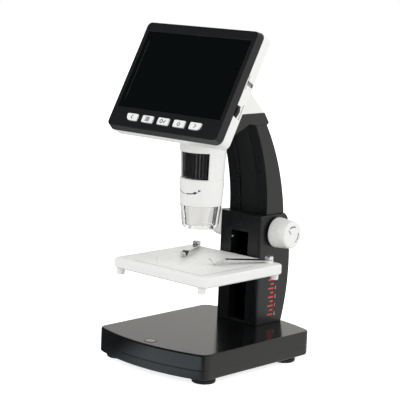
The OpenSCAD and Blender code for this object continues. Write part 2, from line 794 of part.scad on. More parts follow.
// Two screws fix the arm in the column from behind, two hold the hood on the arm from above
module arm_screws() at_axis() color([0.6, 0.6, 0.62]) {
    at_arm_screws() screw(m3_r, 8, m3_head_r, m3_head_h - 0.4);
    for (x = [-1, 1]) translate([x * hood_screw_x, hood_screw_y, hood_top - m3_head_h - 0.1])
        rotate([180, 0, 0]) screw(m3_r, 8, m3_head_r, m3_head_h - 0.2);
}

// ---------- focus drive ----------

module on_shaft(x) translate([x, shaft_y, shaft_z]) rotate([0, 90, 0]) children();

module shaft_bushes() at_axis() color([0.12, 0.12, 0.13]) mirrored() difference() {
    union() {
        on_shaft(column_w / 2 - column_wall - 1.4) cylinder(r = bush_r, h = column_wall + 1.4 + eps);
        on_shaft(column_w / 2) cylinder(r = collar_r, h = collar_t);
    }
    on_shaft(0) cylinder(r = shaft_r + run_fit, h = column_w);
}

module focus_shaft() at_axis() color([0.7, 0.7, 0.72])
    on_shaft(-knob_x - knob_len + 2) cylinder(r = shaft_r, h = 2 * (knob_x + knob_len - 2));

// Half the angle that a pinion tooth takes at radius r, from the involute of its base circle
base_circle = pitch_r * cos(pressure);
function involute(a) = tan(a) * 180 / PI - a;
function half_tooth(r) =
    (tooth_pitch / 2 - backlash) / 2 / pitch_r * 180 / PI + involute(pressure)
    - involute(r > base_circle ? acos(base_circle / r) : 0);

function pinion_outline(n = 5) = [for (t = [0:pinion_teeth - 1])
    let (mid = 360 * t / pinion_teeth)
    each concat(
        [for (i = [0:n]) let (r = pinion_root_r + (pinion_tip_r - pinion_root_r) * i / n)
            r * [cos(mid - half_tooth(r)), sin(mid - half_tooth(r))]],
        [for (i = [n:-1:0]) let (r = pinion_root_r + (pinion_tip_r - pinion_root_r) * i / n)
            r * [cos(mid + half_tooth(r)), sin(mid + half_tooth(r))]])];

// A tooth space faces the rack, straight towards -Y
module drive_pinion() at_axis() color([0.8, 0.68, 0.35]) difference() {
    translate([-pinion_len / 2, shaft_y, shaft_z]) rotate([90, 0, 90])
        rotate([0, 0, 180 + 180 / pinion_teeth]) linear_extrude(pinion_len) polygon(pinion_outline());
    on_shaft(-pinion_len) cylinder(r = shaft_r + 0.01, h = 2 * pinion_len);
}

module focus_knob() difference() {
    on_shaft(knob_x) rotate_extrude() polygon([[0, 0], [knob_r - 0.6, 0], [knob_r, 0.6],
        [knob_face_r + 0.3, knob_len - 1], [knob_face_r - 0.8, knob_len], [0, knob_len]]);
    on_shaft(knob_x - 1) cylinder(r = shaft_r + 0.01, h = knob_len - 0.9);
    on_shaft(knob_x + knob_len / 3) rotate([0, 90, 0]) cylinder(r = grub_r + screw_fit, h = knob_r + 1);
}

module focus_knob_right() at_axis() color([0.92, 0.92, 0.9]) focus_knob();
module focus_knob_left() at_axis() color([0.92, 0.92, 0.9]) mirror([1, 0, 0]) focus_knob();

module knob_grub_screws() at_axis() color([0.5, 0.5, 0.52]) mirrored()
    on_shaft(knob_x + knob_len / 3) rotate([0, 90, 0]) translate([0, 0, shaft_r + 0.02])
        cylinder(r = grub_r, h = grub_len, $fn = 32);

// ---------- stage slide ----------

module stage_carriage() at_axis() color([0.06, 0.06, 0.07]) difference() {
    union() {
        box(-groove_w / 2 + slide_fit, groove_w / 2 - slide_fit, column_front + 0.2,
            groove_back - slide_fit, block_low, block_high);
        box(-web_w / 2, web_w / 2, groove_back - 1, guide_back + slide_fit, web_low, web_high);
        box(-groove_w / 2 + slide_fit, groove_w / 2 - slide_fit, column_front - 2, column_front + 1,
            stage_bottom - tongue_t, stage_bottom);
        box(-tongue_w / 2, tongue_w / 2, tongue_front, column_front - 0.8,
            stage_bottom - tongue_t, stage_bottom);
    }
    for (p = tongue_screws) translate([p[0], p[1], stage_bottom - tongue_t]) {
        bore(m3_r + screw_fit, tongue_t + 1);
        bore(m3_head_r + free_gap, m3_head_h);
    }
    at_keeper_screws() bore(m2_r + screw_fit, rack_root - groove_back + 6);
}

module at_keeper_screws()
    for (z = keeper_screw_zs) translate([0, rack_root, z]) rotate([90, 0, 0]) children();

module carriage_keeper() at_axis() color([0.06, 0.06, 0.07]) difference() {
    box(-guide_w / 2 + 5, guide_w / 2 - 5, guide_back + slide_fit, rack_back, web_low, web_high);
    at_keeper_screws() bore(m2_r + screw_fit, rack_root - guide_back + 1);
}

// Side view of the toothed part, as (distance behind the rack's back, height), one tooth at a time
rack_phase = (shaft_z - rack_teeth_low) - tooth_pitch * floor((shaft_z - rack_teeth_low) / tooth_pitch);
function rack_tooth(z) =
    let (half = (tooth_pitch / 2 - backlash) / 2,
         foot = half + (rack_pitch - rack_root) * tan(pressure),
         crest = half - (rack_tip - rack_pitch) * tan(pressure))
    [[rack_root, z - foot], [rack_tip, z - crest], [rack_tip, z + crest], [rack_root, z + foot]];

module lift_rack() at_axis() color([0.78, 0.66, 0.34]) difference() {
    side(rack_w) polygon(concat([[rack_back, rack_high], [rack_back, web_low], [rack_root, web_low]],
        [for (z = [rack_teeth_low + rack_phase : tooth_pitch : rack_high - tooth_pitch])
            each rack_tooth(z)],
        [[rack_root, rack_high]]));
    at_keeper_screws() bore(m2_r + screw_fit, rack_root - rack_back + 1);
}

// Screws under the stage, and the two through rack and keeper into the carriage
module stage_screws() at_axis() color([0.6, 0.6, 0.62]) {
    for (p = tongue_screws) translate([p[0], p[1], stage_bottom - tongue_t + m3_head_h])
        screw(m3_r, tongue_t + 0.8, m3_head_r, m3_head_h);
    at_keeper_screws() screw(m2_r, rack_root - groove_back + 5, m2_head_r, m2_head_h);
}

// ---------- stage ----------

function stage_outline(inset = 0) = rounded_box(-stage_w / 2 + inset, -stage_depth / 2 + inset,
    stage_w / 2 - inset, stage_depth / 2 - inset, stage_corner_r - inset);

module at_pegs()
    for (x = [-1, 1], y = [-1, 1])
        translate([x * (stage_w / 2 - peg_in), y * (stage_depth / 2 - peg_end), stage_bottom]) children();

module stage_plate() at_axis() color([0.93, 0.93, 0.91]) difference() {
    hull() {
        slab(stage_outline(stage_edge), stage_bottom, stage_top);
        slab(stage_outline(), stage_bottom + stage_edge, stage_top - stage_edge);
    }
    translate([0, 0, stage_top - disc_t]) cylinder(r = disc_r + 0.15, h = disc_t + 1);
    for (p = tongue_screws) translate([p[0], p[1], stage_bottom]) bore(m3_r + screw_fit, 3.4);
    at_pegs() bore(peg_r / 2 + screw_fit, 3.2);
    mirrored() translate([post_x, post_y, stage_top - 4]) bore(post_pin_r + screw_fit, 5);
}

module stage_disc() at_axis() color([0.88, 0.89, 0.86])
    translate([0, 0, stage_top - disc_t]) cylinder(r = disc_r, h = disc_t - 0.05);

module stage_pegs() at_axis() color([0.92, 0.92, 0.9]) at_pegs() {
    translate([0, 0, -peg_h]) cylinder(r1 = peg_r - 0.3, r2 = peg_r, h = peg_h);
    translate([0, 0, -eps]) cylinder(r = peg_r / 2, h = 3);
}

module clip_bushes() at_axis() color([0.93, 0.93, 0.91])
    mirrored() translate([post_x, post_y, 0])
        ring(post_r, post_pin_r + screw_fit, stage_top, stage_top + bush_h);

module clip_posts() at_axis() color([0.85, 0.85, 0.87]) mirrored() translate([post_x, post_y, 0]) {
    translate([0, 0, stage_top - 3.8]) cylinder(r = post_pin_r, h = bush_h + 4 + clip_t);
    translate([0, 0, clip_z + clip_t + run_fit]) linear_extrude(post_head_h)
        polygon(ribbed_outline(post_r, 0.25, 16));
}

// Spring clip that reaches straight towards -Y from a post at the origin
module clip_shape() difference() {
    intersection() {
        rotate([90, 0, -90]) translate([0, 0, -clip_w / 2]) linear_extrude(clip_w)
            polygon(strip(clip_side_view, clip_t));
        slab(clip_plan(), stage_top - 1, stage_top + 20);
    }
    translate([0, 0, clip_z - 1]) cylinder(r = post_pin_r + run_fit, h = 3);
}

// The clip seen from above: round at the post, tapering to a round tip
function clip_plan() =
    let (w = clip_w / 2, t = clip_tip_w / 2, far = clip_reach + clip_tail)
    rounded([[-w, w, w - 0.1], [-w, -clip_reach / 3, 0], [-t, -far, t - 0.1], [t, -far, t - 0.1],
             [w, -clip_reach / 3, 0], [w, w, w - 0.1]]);

module clip_right() at_axis() color([0.82, 0.82, 0.84])
    translate([post_x, post_y, 0]) rotate([0, 0, -clip_right_angle]) clip_shape();

module clip_left() at_axis() color([0.82, 0.82, 0.84])
    translate([-post_x, post_y, 0]) rotate([0, 0, clip_left_angle]) clip_shape();

// ---------- screen ----------

function face_outline(grow) = rounded_box(-face_w / 2 - grow, -grow, face_w / 2 + grow, face_h + grow,
    face_corner_r + grow);

module at_host_screws()
    for (u = [-host_screw_u, host_screw_u], v = host_screw_vs) translate([u, v, 0]) children();

// Buttons: the end ones have a large rounded lower outer corner
button_count = 5;
function button_u(i) = (i - (button_count - 1) / 2) * button_pitch;
function button_outline(i, grow = 0) =
    let (u0 = button_u(i) - button_w / 2 - grow, u1 = button_u(i) + button_w / 2 + grow,
         v0 = button_v - grow, v1 = button_v + button_h + grow, r = 0.8 + grow, big = 3.6 + grow)
    rounded([[u0, v0, i == 0 ? big : r], [u1, v0, i == button_count - 1 ? big : r],
             [u1, v1, r], [u0, v1, r]]);

module screen_bezel() at_axis() color([0.06, 0.06, 0.07]) difference() {
    union() {
        difference() {
            hull() {
                screen_slab(face_outline(0), 0, 0.4);
                screen_slab(face_outline(bezel_flare), bezel_d - 0.4, bezel_d);
            }
            screen_slab(face_outline(-screen_wall), bezel_t, bezel_d + 1);
        }
        on_screen() at_host_screws() translate([0, 0, -bezel_d])
            cylinder(r = host_boss_r, h = bezel_d - bezel_t + eps);
    }
    screen_box(-window_w / 2, window_w / 2, display_v, display_top, -1, glass_t + 0.1);
    screen_box(-window_w / 2 + 1, window_w / 2 - 1, display_v + 1, display_top - 1, -1, bezel_t + 1);
    for (i = [0:button_count - 1]) screen_slab(button_outline(i, free_gap), -1, bezel_t + 1);
    on_screen() at_host_screws() translate([0, 0, -bezel_d]) bore(m2_r + screw_fit, bezel_d - 1.2);
}

module display_glass() at_axis() color([0.02, 0.02, 0.03])
    screen_box(-window_w / 2 + 0.1, window_w / 2 - 0.1, display_v + 0.1, display_top - 0.1,
        0.1, glass_t + 0.1);

module lcd_panel() at_axis() color([0.3, 0.31, 0.33])
    screen_box(-panel_w / 2, panel_w / 2, panel_v0, panel_v1, bezel_t, bezel_t + panel_t);

// Side view of the block behind the screen, drawn in by a margin
function block_points(m = 0) =
    let (d = screen_d - 1 - m, top = on_face(block_top_v - 1.4 * m, screen_d), low_v = v_at(-tube_r + m, d))
    [[-tube_r + m, hood_top + m], [block_back - 2.4 * m, hood_top + m], top,
     on_face(block_top_v - 1.4 * m, d), on_face(low_v, d)];

module rear_shell_body() {
    hull() {
        screen_slab(face_outline(bezel_flare), bezel_d, bezel_d + 0.4);
        screen_slab(face_outline(bezel_flare - 0.5), screen_d - 2, screen_d - 1.6);
        screen_slab(face_outline(bezel_flare - 2.2), screen_d - 0.4, screen_d);
    }
    side(hood_w) polygon(block_points());
}

module screen_rear_shell() at_axis() color([0.93, 0.93, 0.91]) difference() {
    union() {
        difference() {
            rear_shell_body();
            screen_slab(face_outline(-screen_wall), bezel_d - 1, screen_d - screen_wall);
            side(hood_w - 2 * head_wall) polygon(block_points(head_wall));
        }
        on_screen() at_host_screws() translate([0, 0, -screen_d + screen_wall - 0.3])
            cylinder(r = host_boss_r + 0.7, h = screen_d - screen_wall + 0.3 - bezel_d);
    }
    on_screen() at_host_screws() {
        translate([0, 0, -screen_d - 1]) bore(m2_r + screw_fit, screen_d);
        translate([0, 0, -screen_d]) bore(m2_head_r + 0.2, m2_head_h + 0.4);
    }
    // dimmer notch, port, card slot and the recess at the seam beside the port
    on_screen() translate([dimmer_u, dimmer_v, -dimmer_d - dimmer_t - free_gap])
        cylinder(r = dimmer_r + free_gap, h = dimmer_d + dimmer_t);
    screen_box(seam_w / 2 - 4, seam_w / 2 + 2, port_v, port_v + port_h, port_d, port_d + port_len);
    screen_box(seam_w / 2 - 4, seam_w / 2 + 2, card_v, card_v + card_h, card_d, card_d + card_t);
    screen_box(seam_w / 2 - 0.8, seam_w / 2 + 2, port_v - 3.5, port_v + port_h + 3.5, bezel_d - 1, port_d);
    // way for the camera's ribbon down into the head
    translate([0, 0, hood_top - 1]) cylinder(r = ribbon_hole_r, h = head_wall + 2);
    at_head_screws() bore(m2_r + screw_fit, 6);
}

module at_head_screws()
    for (a = [90, 210, 330]) rotate([0, 0, a])
        translate([(ribbon_hole_r + tube_r) / 2, 0, lid_low]) children();

// Four screws close the screen, three hold the head on it
module host_screws() at_axis() color([0.6, 0.6, 0.62]) {
    on_screen() at_host_screws() translate([0, 0, -screen_d + m2_head_h + 0.3])
        screw(m2_r, screen_d - m2_head_h - 0.3 - bezel_t, m2_head_r, m2_head_h);
    at_head_screws() screw(m2_r, 3.6, m2_head_r, m2_head_h);
}

module main_board() at_axis() color([0.05, 0.3, 0.15]) difference() {
    screen_box(-face_w / 2 + 14, face_w / 2 - 4.4, panel_v0 + 5, panel_v1 - 5, board_d, board_d + board_t);
    on_screen() translate([dimmer_u, dimmer_v, -board_d - board_t - 1])
        cylinder(r = spindle_r + screw_fit, h = 4);
    screen_box(seam_w / 2 - 9, seam_w / 2, port_v - 0.6, port_v + port_h + 0.6,
        board_d - 1, board_d + board_t + 1);
}

module battery() at_axis() color([0.75, 0.76, 0.78])
    box(-battery_w / 2, battery_w / 2, battery_back - battery_len, battery_back, hood_top + head_wall,
        hood_top + head_wall + battery_t);

// Flat ribbon from the sensor board up through the head to the main board
module camera_ribbon() at_axis() color([0.75, 0.5, 0.2]) {
    back_d = board_d + board_t + 0.3;
    low_v = v_at(-1.5 * ribbon_rise, back_d);
    lies_z = sensor_z + sensor_pcb_t + ribbon_t;
    side(ribbon_w) polygon(strip([[-1, lies_z + 0.1], [-ribbon_rise, lies_z + 0.6],
        [-ribbon_rise, hood_top + ribbon_rise - 1], on_face(low_v, back_d),
        on_face(low_v + 1.3 * ribbon_rise, back_d)], ribbon_t));
}

// The port's mouth drawn in by a margin, between two places across the screen
module port_block(margin, u0, u1)
    screen_box(u0, u1, port_v + margin, port_v + port_h - margin,
        port_d + margin, port_d + port_len - margin);

module usb_port() at_axis() color([0.7, 0.7, 0.72]) difference() {
    port_block(0.15, seam_w / 2 - 8.4, seam_w / 2 - 1);
    port_block(0.5, seam_w / 2 - 7, seam_w / 2);
}

module card_socket() at_axis() color([0.65, 0.65, 0.67]) difference() {
    screen_box(face_w / 2 - 13, face_w / 2 - screen_wall - 0.1, card_v - 0.8, card_v + card_h + 0.8,
        board_d + board_t, card_d + card_t + 0.3);
    screen_box(face_w / 2 - 12, seam_w / 2, card_v, card_v + card_h, card_d, card_d + card_t);
}

// Small board behind the buttons with one switch for each
module button_board() at_axis() color([0.05, 0.3, 0.15]) {
    screen_box(button_u(0) - 6, button_u(button_count - 1) + 6, button_v - 3.2, button_v + button_h + 1,
        button_board_d, button_board_d + 1.2);
    for (i = [0:button_count - 1]) {
        mid = button_v + button_h / 2;
        screen_box(button_u(i) - 2, button_u(i) + 2, mid - 2, mid + 2,
            switch_top_d + 0.5, button_board_d + eps);
        on_screen() translate([button_u(i), mid, -switch_top_d - 0.5 - eps])
            cylinder(r = 0.9, h = 0.5 + eps);
    }
}

// A button's key, and the flange behind the bezel that keeps it in
module button(i) at_axis() color([0.82, 0.83, 0.85]) {
    screen_slab(button_outline(i), -button_proud, bezel_t + 0.3 + eps);
    screen_slab(button_outline(i, 0.9), bezel_t + 0.1, bezel_t + 0.9);
}

module button_back() button(0);
module button_menu() button(1);
module button_ok() button(2);
module button_power() button(3);
module button_next() button(4);

// Outline of a wheel with rounded ribs, from its radius, rib height and number of ribs
function ribbed_outline(r, rib, count) = [for (i = [0:count * 4 - 1])
    (r - rib * (i % 4 < 2 ? 0 : 1)) * [cos(90 * i / count), sin(90 * i / count)]];

module dimmer_wheel() at_axis() color([0.05, 0.05, 0.05])
    on_screen() translate([dimmer_u, dimmer_v, -dimmer_d - dimmer_t]) difference() {
        linear_extrude(dimmer_t) polygon(ribbed_outline(dimmer_r, 0.35, 36));
        translate([0, 0, -1]) cylinder(r = spindle_r + run_fit, h = dimmer_t + 2);
    }

// Fixed spindle and body that the thumbwheel turns on
module dimmer_pot() at_axis() color([0.3, 0.3, 0.32]) on_screen() translate([dimmer_u, dimmer_v, 0]) {
    translate([0, 0, -board_d - board_t]) cylinder(r = spindle_r, h = board_d + board_t - dimmer_d + 0.4);
    translate([0, 0, -board_d]) difference() {
        cylinder(r = 2.9, h = board_d - dimmer_d - dimmer_t - 0.1);
        translate([0, 0, -1]) cylinder(r = spindle_r, h = 9);
    }
}

// ---------- head ----------

module head_housing() at_axis() color([0.93, 0.93, 0.91]) difference() {
    union() {
        rotate_extrude() polygon([[tube_low_r - head_wall, tube_bottom], [tube_low_r, tube_bottom],
            [tube_r, bevel_top], [tube_r, hood_top], [tube_r - head_wall, hood_top],
            [tube_r - head_wall, bevel_top]]);
        ring(tube_r - 0.5, guide_r + screw_fit, shelf_low, shelf_low + shelf_t);
        ring(tube_r - 0.5, ribbon_hole_r, lid_low, hood_top);
    }
    window_wedge(window_low, window_top);
    at_head_screws() bore(m2_r + screw_fit, 3);
}

// Sector of the head that faces the viewer, wide enough to cut its wall
module window_wedge(low, high) {
    reach = 2 * tube_r;
    slab([[0, 0], [reach * sin(window_half), -reach * cos(window_half)], [reach, -reach],
          [-reach, -reach], [-reach * sin(window_half), -reach * cos(window_half)]], low, high);
}

module head_sleeve() at_axis() color([0.93, 0.93, 0.91]) rotate_extrude() polygon([
    [sleeve_bore, sleeve_bottom], [sleeve_low_r, sleeve_bottom], [sleeve_r, tube_bottom - 4],
    [sleeve_r, tube_bottom], [guide_r + screw_fit, tube_bottom], [guide_r + screw_fit, tube_bottom - 1.4],
    [sleeve_bore, tube_bottom - 1.4]]);

module guide_tube() at_axis() color([0.08, 0.08, 0.09])
    ring(guide_r, barrel_r + run_fit, guide_bottom, sensor_z);

module focus_wheel() at_axis() color([0.05, 0.05, 0.05]) difference() {
    translate([0, 0, wheel_low]) linear_extrude(wheel_high - wheel_low)
        polygon(ribbed_outline(wheel_r, 0.6, wheel_ribs));
    translate([0, 0, wheel_low - 1]) cylinder(r = guide_r + run_fit, h = wheel_high - wheel_low + 2);
}

module lens_barrel() at_axis() color([0.15, 0.15, 0.16]) difference() {
    translate([0, 0, barrel_bottom]) cylinder(r = barrel_r, h = barrel_len);
    translate([0, 0, barrel_bottom - 1]) cylinder(r = barrel_r - 1.5, h = 6);
    translate([0, 0, barrel_bottom - 1]) cylinder(r = barrel_r - 2.5, h = barrel_len + 2);
}

// Front lens in the barrel's mouth and rear lens further up
module objective_lenses() at_axis() color([0.7, 0.8, 0.85, 0.5]) {
    ring(barrel_r - 1.55, 0, barrel_bottom + 2, barrel_bottom + 4.95);
    ring(barrel_r - 2.55, 0, barrel_bottom + barrel_len - 4, barrel_bottom + barrel_len - 2);
}

// Sensor board on the shelf, with the sensor facing down the guide tube
module sensor_board() at_axis() color([0.05, 0.3, 0.15]) {
    ring(tube_r - head_wall - 2, 0, sensor_z, sensor_z + sensor_pcb_t);
    box(-3, 3, -3, 3, sensor_z - 0.8, sensor_z + eps);
}

module led_board() at_axis() color([0.9, 0.9, 0.88])
    ring(sleeve_bore - free_gap, guide_r - 0.6, led_z, led_z + led_pcb_t);

module white_leds() at_axis() color([0.98, 0.98, 0.85])
    for (i = [0:led_count - 1]) rotate([0, 0, 360 * i / led_count])
        translate([led_ring_r - led_size / 2, -led_size / 2, led_z - led_h])
            cube([led_size, led_size, led_h]);

// Clear cap: its spigot plugs into the sleeve, and its lower rim narrows round the light path
module clear_cap() at_axis() color([0.8, 0.85, 0.88, 0.4]) {
    rim_bore = cap_low_r - cap_wall - 0.6;
    knee_r = cap_low_r + 2.2;
    belly_r = cap_low_r + 2.7;
    rotate_extrude() polygon([
        [rim_bore, cap_bottom], [cap_low_r, cap_bottom], [knee_r, cap_bottom + cap_knee_h],
        [belly_r, cap_bottom + cap_belly_h], [sleeve_low_r, sleeve_bottom - 0.1],
        [cap_spigot_r, sleeve_bottom - 0.1], [cap_spigot_r, sleeve_bottom + cap_spigot_h],
        [cap_spigot_r - cap_wall, sleeve_bottom + cap_spigot_h],
        [belly_r - cap_wall - 0.2, cap_bottom + cap_belly_h],
        [knee_r - cap_wall - 0.2, cap_bottom + cap_knee_h + 0.4], [rim_bore, cap_bottom + cap_rim_h]]);
}

base_top_cover();
base_tray();
base_weight();
rubber_feet();
base_badge();
base_screws();
column_housing();
guide_plate();
guide_screws();
stop_screw();
arm_shell();
arm_front_cover();
arm_hood();
arm_screws();
shaft_bushes();
focus_shaft();
drive_pinion();
focus_knob_left();
focus_knob_right();
knob_grub_screws();
stage_carriage();
carriage_keeper();
lift_rack();
stage_screws();
stage_plate();
stage_disc();
stage_pegs();
clip_bushes();
clip_posts();
clip_left();
clip_right();
screen_bezel();
display_glass();
lcd_panel();
screen_rear_shell();
host_screws();
main_board();
battery();
camera_ribbon();
usb_port();
card_socket();
button_board();
button_back();
button_menu();
button_ok();
button_power();
button_next();
dimmer_wheel();
dimmer_pot();
head_housing();
head_sleeve();
guide_tube();
focus_wheel();
lens_barrel();
objective_lenses();
sensor_board();
led_board();
white_leds();
clear_cap();
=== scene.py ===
"""Looks of the digital microscope: moulded shells, knurls, marks, glass, lamps and the camera."""

import json
import math

import bmesh
import bpy
from mathutils import Matrix, Vector


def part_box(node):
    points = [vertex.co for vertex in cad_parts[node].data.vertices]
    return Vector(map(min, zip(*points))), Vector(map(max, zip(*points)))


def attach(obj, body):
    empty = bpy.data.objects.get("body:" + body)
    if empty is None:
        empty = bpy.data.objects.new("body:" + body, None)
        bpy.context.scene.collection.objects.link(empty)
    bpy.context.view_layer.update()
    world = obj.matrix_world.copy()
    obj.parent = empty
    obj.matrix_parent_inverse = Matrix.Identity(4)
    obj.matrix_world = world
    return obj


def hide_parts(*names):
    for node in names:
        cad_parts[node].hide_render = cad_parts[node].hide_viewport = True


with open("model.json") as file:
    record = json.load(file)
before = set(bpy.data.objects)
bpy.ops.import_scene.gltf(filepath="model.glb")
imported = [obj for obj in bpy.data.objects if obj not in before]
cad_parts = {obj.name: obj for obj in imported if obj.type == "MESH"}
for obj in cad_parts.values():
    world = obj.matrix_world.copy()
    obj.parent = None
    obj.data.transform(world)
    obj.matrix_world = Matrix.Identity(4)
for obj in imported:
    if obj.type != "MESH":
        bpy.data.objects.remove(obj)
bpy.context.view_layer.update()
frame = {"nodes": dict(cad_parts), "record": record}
nodes = frame["nodes"]
scene = bpy.context.scene

MM = 0.001

# How far printed marks reach into their surface and stand out of it
PRINT_UNDER = 0.02
PRINT_OVER = 0.03

# The optical axis stands at this place of the frame's y axis
AXIS_Y = -11.8063

# The screen's face: its tilt from upright, and its lower edge's place in the side view
SCREEN_TILT = math.radians(28.6)
FACE_Y = -45.5 + AXIS_Y
FACE_Z = 169.2


# ---------- small helpers ----------

def mm(x, y, z):
    """Place given in millimetres, in the scene's metres."""
    return Vector((x, y, z)) * MM


def span(node):
    """Lowest and highest corner of a CAD node, and its middle, in millimetres."""
    low, high = (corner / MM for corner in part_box(node))
    return low, high, (low + high) / 2


def blend_number(a, b, t):
    """Number at the share t of the way from a to b."""
    return a + (b - a) * t


def smooth_step(t):
    """Soft rise from 0 to 1 while t goes from 0 to 1."""
    t = min(max(t, 0), 1)
    return t * t * (3 - 2 * t)


def arc(radius, start, end, steps, centre=(0, 0)):
    """Points of a circular arc in the plane, with its angles in degrees."""
    turns = [math.radians(start + (end - start) * i / steps) for i in range(steps + 1)]
    return [Vector((centre[0] + radius * math.cos(t), centre[1] + radius * math.sin(t))) for t in turns]


def rounded(corners, steps=8):
    """Closed outline from corners given as (x, y, radius)."""
    points = [Vector(c[:2]) for c in corners]
    outline = []
    for i, (point, corner) in enumerate(zip(points, corners)):
        radius = corner[2]
        if radius == 0:
            outline.append(point)
            continue
        back = (points[i - 1] - point).normalized()
        ahead = (points[(i + 1) % len(points)] - point).normalized()
        half = back.angle(ahead) / 2
        middle = point + (back + ahead).normalized() * radius / math.sin(half)
        first = point + back * radius / math.tan(half) - middle
        turn = (math.pi - 2 * half) * (-1 if back.cross(ahead) > 0 else 1)
        for k in range(steps + 1):
            outline.append(middle + first @ Matrix.Rotation(-turn * k / steps, 2))
    return outline


def loft(bm, rings, caps=True, closed=False):
    """Skin over rings of equal length, with flat ends or joined end to end."""
    rows = [[bm.verts.new(point) for point in ring] for ring in rings]
    pairs = list(zip(rows, rows[1:]))
    if closed:
        pairs.append((rows[-1], rows[0]))
    for first, second in pairs:
        for i in range(len(first)):
            k = (i + 1) % len(first)
            bm.faces.new((first[i], first[k], second[k], second[i]))
    if caps and not closed:
        bm.faces.new(list(reversed(rows[0])))
        bm.faces.new(rows[-1])


def piece(name, bm, body, material, replaces=(), sharp=32):
    """Turns a mesh under construction into a finished piece that rides on a body."""
    bmesh.ops.recalc_face_normals(bm, faces=bm.faces)
    mesh = bpy.data.meshes.new(name)
    bm.to_mesh(mesh)
    bm.free()
    mesh.materials.append(material)
    mesh.shade_smooth()
    mesh.set_sharp_from_angle(angle=math.radians(sharp))
    made = bpy.data.objects.new(name, mesh)
    scene.collection.objects.link(made)
    weights = made.modifiers.new("weights", "WEIGHTED_NORMAL")
    weights.keep_sharp = True
    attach(made, body)
    if replaces:
        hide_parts(*replaces)
    return made


BODY_OF = {node: body for body, members in frame["record"]["behaviour"]["bodies"].items() for node in members}


def softened(node, width, material, segments=3, angle=28):
    """A CAD node's own shape with its sharp edges rounded, in place of the node."""
    bm = bmesh.new()
    bm.from_mesh(nodes[node].data)
    bmesh.ops.remove_doubles(bm, verts=bm.verts, dist=1e-6)
    bmesh.ops.dissolve_limit(bm, angle_limit=math.radians(0.4), verts=bm.verts, edges=bm.edges)
    edges = [e for e in bm.edges if len(e.link_faces) == 2 and e.calc_face_angle() > math.radians(angle)]
    bmesh.ops.bevel(bm, geom=edges, offset=width * MM, offset_type="OFFSET", segments=segments, profile=0.5,
                    affect="EDGES", clamp_overlap=False)
    return piece(node + "_skin", bm, BODY_OF[node], material, (node,))


# ---------- materials ----------

def new_material(name):
    """New material with its node tree and shader."""
    material = bpy.data.materials.new(name)
    material.use_nodes = True
    tree = material.node_tree
    return material, tree, tree.nodes["Principled BSDF"]


def noise(tree, size, detail=2.0, stretch=(1, 1, 1)):
    """Noise in the object's own space whose features are about size millimetres across."""
    place = tree.nodes.new("ShaderNodeTexCoord")
    scale = tree.nodes.new("ShaderNodeMapping")
    scale.inputs["Scale"].default_value = stretch
    field = tree.nodes.new("ShaderNodeTexNoise")
    field.inputs["Scale"].default_value = 1 / (size * MM)
    field.inputs["Detail"].default_value = detail
    tree.links.new(place.outputs["Object"], scale.inputs["Vector"])
    tree.links.new(scale.outputs["Vector"], field.inputs["Vector"])
    return field.outputs["Fac"]


def spread(tree, value, low, high):
    """Maps the middle of a noise onto the range from low to high."""
    mapped = tree.nodes.new("ShaderNodeMapRange")
    mapped.inputs["From Min"].default_value = 0.3
    mapped.inputs["From Max"].default_value = 0.7
    mapped.inputs["To Min"].default_value = low
    mapped.inputs["To Max"].default_value = high
    tree.links.new(value, mapped.inputs["Value"])
    return mapped.outputs["Result"]


def tint(tree, shader, value, colour, change):
    """Colour that wanders a little to both sides of the one named."""
    mix = tree.nodes.new("ShaderNodeMix")
    mix.data_type = "RGBA"
    mix.inputs[6].default_value = [c * (1 - change) for c in colour] + [1]
    mix.inputs[7].default_value = [c * (1 + change) for c in colour] + [1]
    tree.links.new(spread(tree, value, 0, 1), mix.inputs[0])
    tree.links.new(mix.outputs[2], shader.inputs["Base Color"])


def grain(tree, shader, value, depth, strength=1.0):
    """Surface relief of a given depth in millimetres."""
    bump = tree.nodes.new("ShaderNodeBump")
    bump.inputs["Strength"].default_value = strength
    bump.inputs["Distance"].default_value = depth * MM
    tree.links.new(value, bump.inputs["Height"])
    tree.links.new(bump.outputs["Normal"], shader.inputs["Normal"])


def plastic(name, colour, rough, change=0.05, rough_change=0.04, grain_size=0.3, grain_depth=0.004,
            specular=0.5):
    """Moulded plastic: faint clouds in its colour, uneven gloss and a fine moulded grain."""
    material, tree, shader = new_material(name)
    tint(tree, shader, noise(tree, 18), colour, change)
    gloss = spread(tree, noise(tree, 6, 4), rough - rough_change, rough + rough_change)
    tree.links.new(gloss, shader.inputs["Roughness"])
    shader.inputs["Specular IOR Level"].default_value = specular
    grain(tree, shader, noise(tree, grain_size, 3), grain_depth)
    return material


def metal(name, colour, rough, brush=(1, 1, 1), brush_size=0.25, brush_depth=0.003, change=0.06,
          metallic=1.0):
    """Metal with fine brush marks, drawn out where brush is small."""
    material, tree, shader = new_material(name)
    shader.inputs["Metallic"].default_value = metallic
    tint(tree, shader, noise(tree, 3, 3), colour, change)
    gloss = spread(tree, noise(tree, brush_size * 3, 4, brush), rough * 0.75, rough * 1.3)
    tree.links.new(gloss, shader.inputs["Roughness"])
    grain(tree, shader, noise(tree, brush_size, 3, brush), brush_depth)
    return material


def rubber(name, colour, rough):
    """Dull rubber with a coarser grain than moulded plastic."""
    return plastic(name, colour, rough, change=0.12, rough_change=0.06, grain_size=0.5, grain_depth=0.012,
                   specular=0.35)


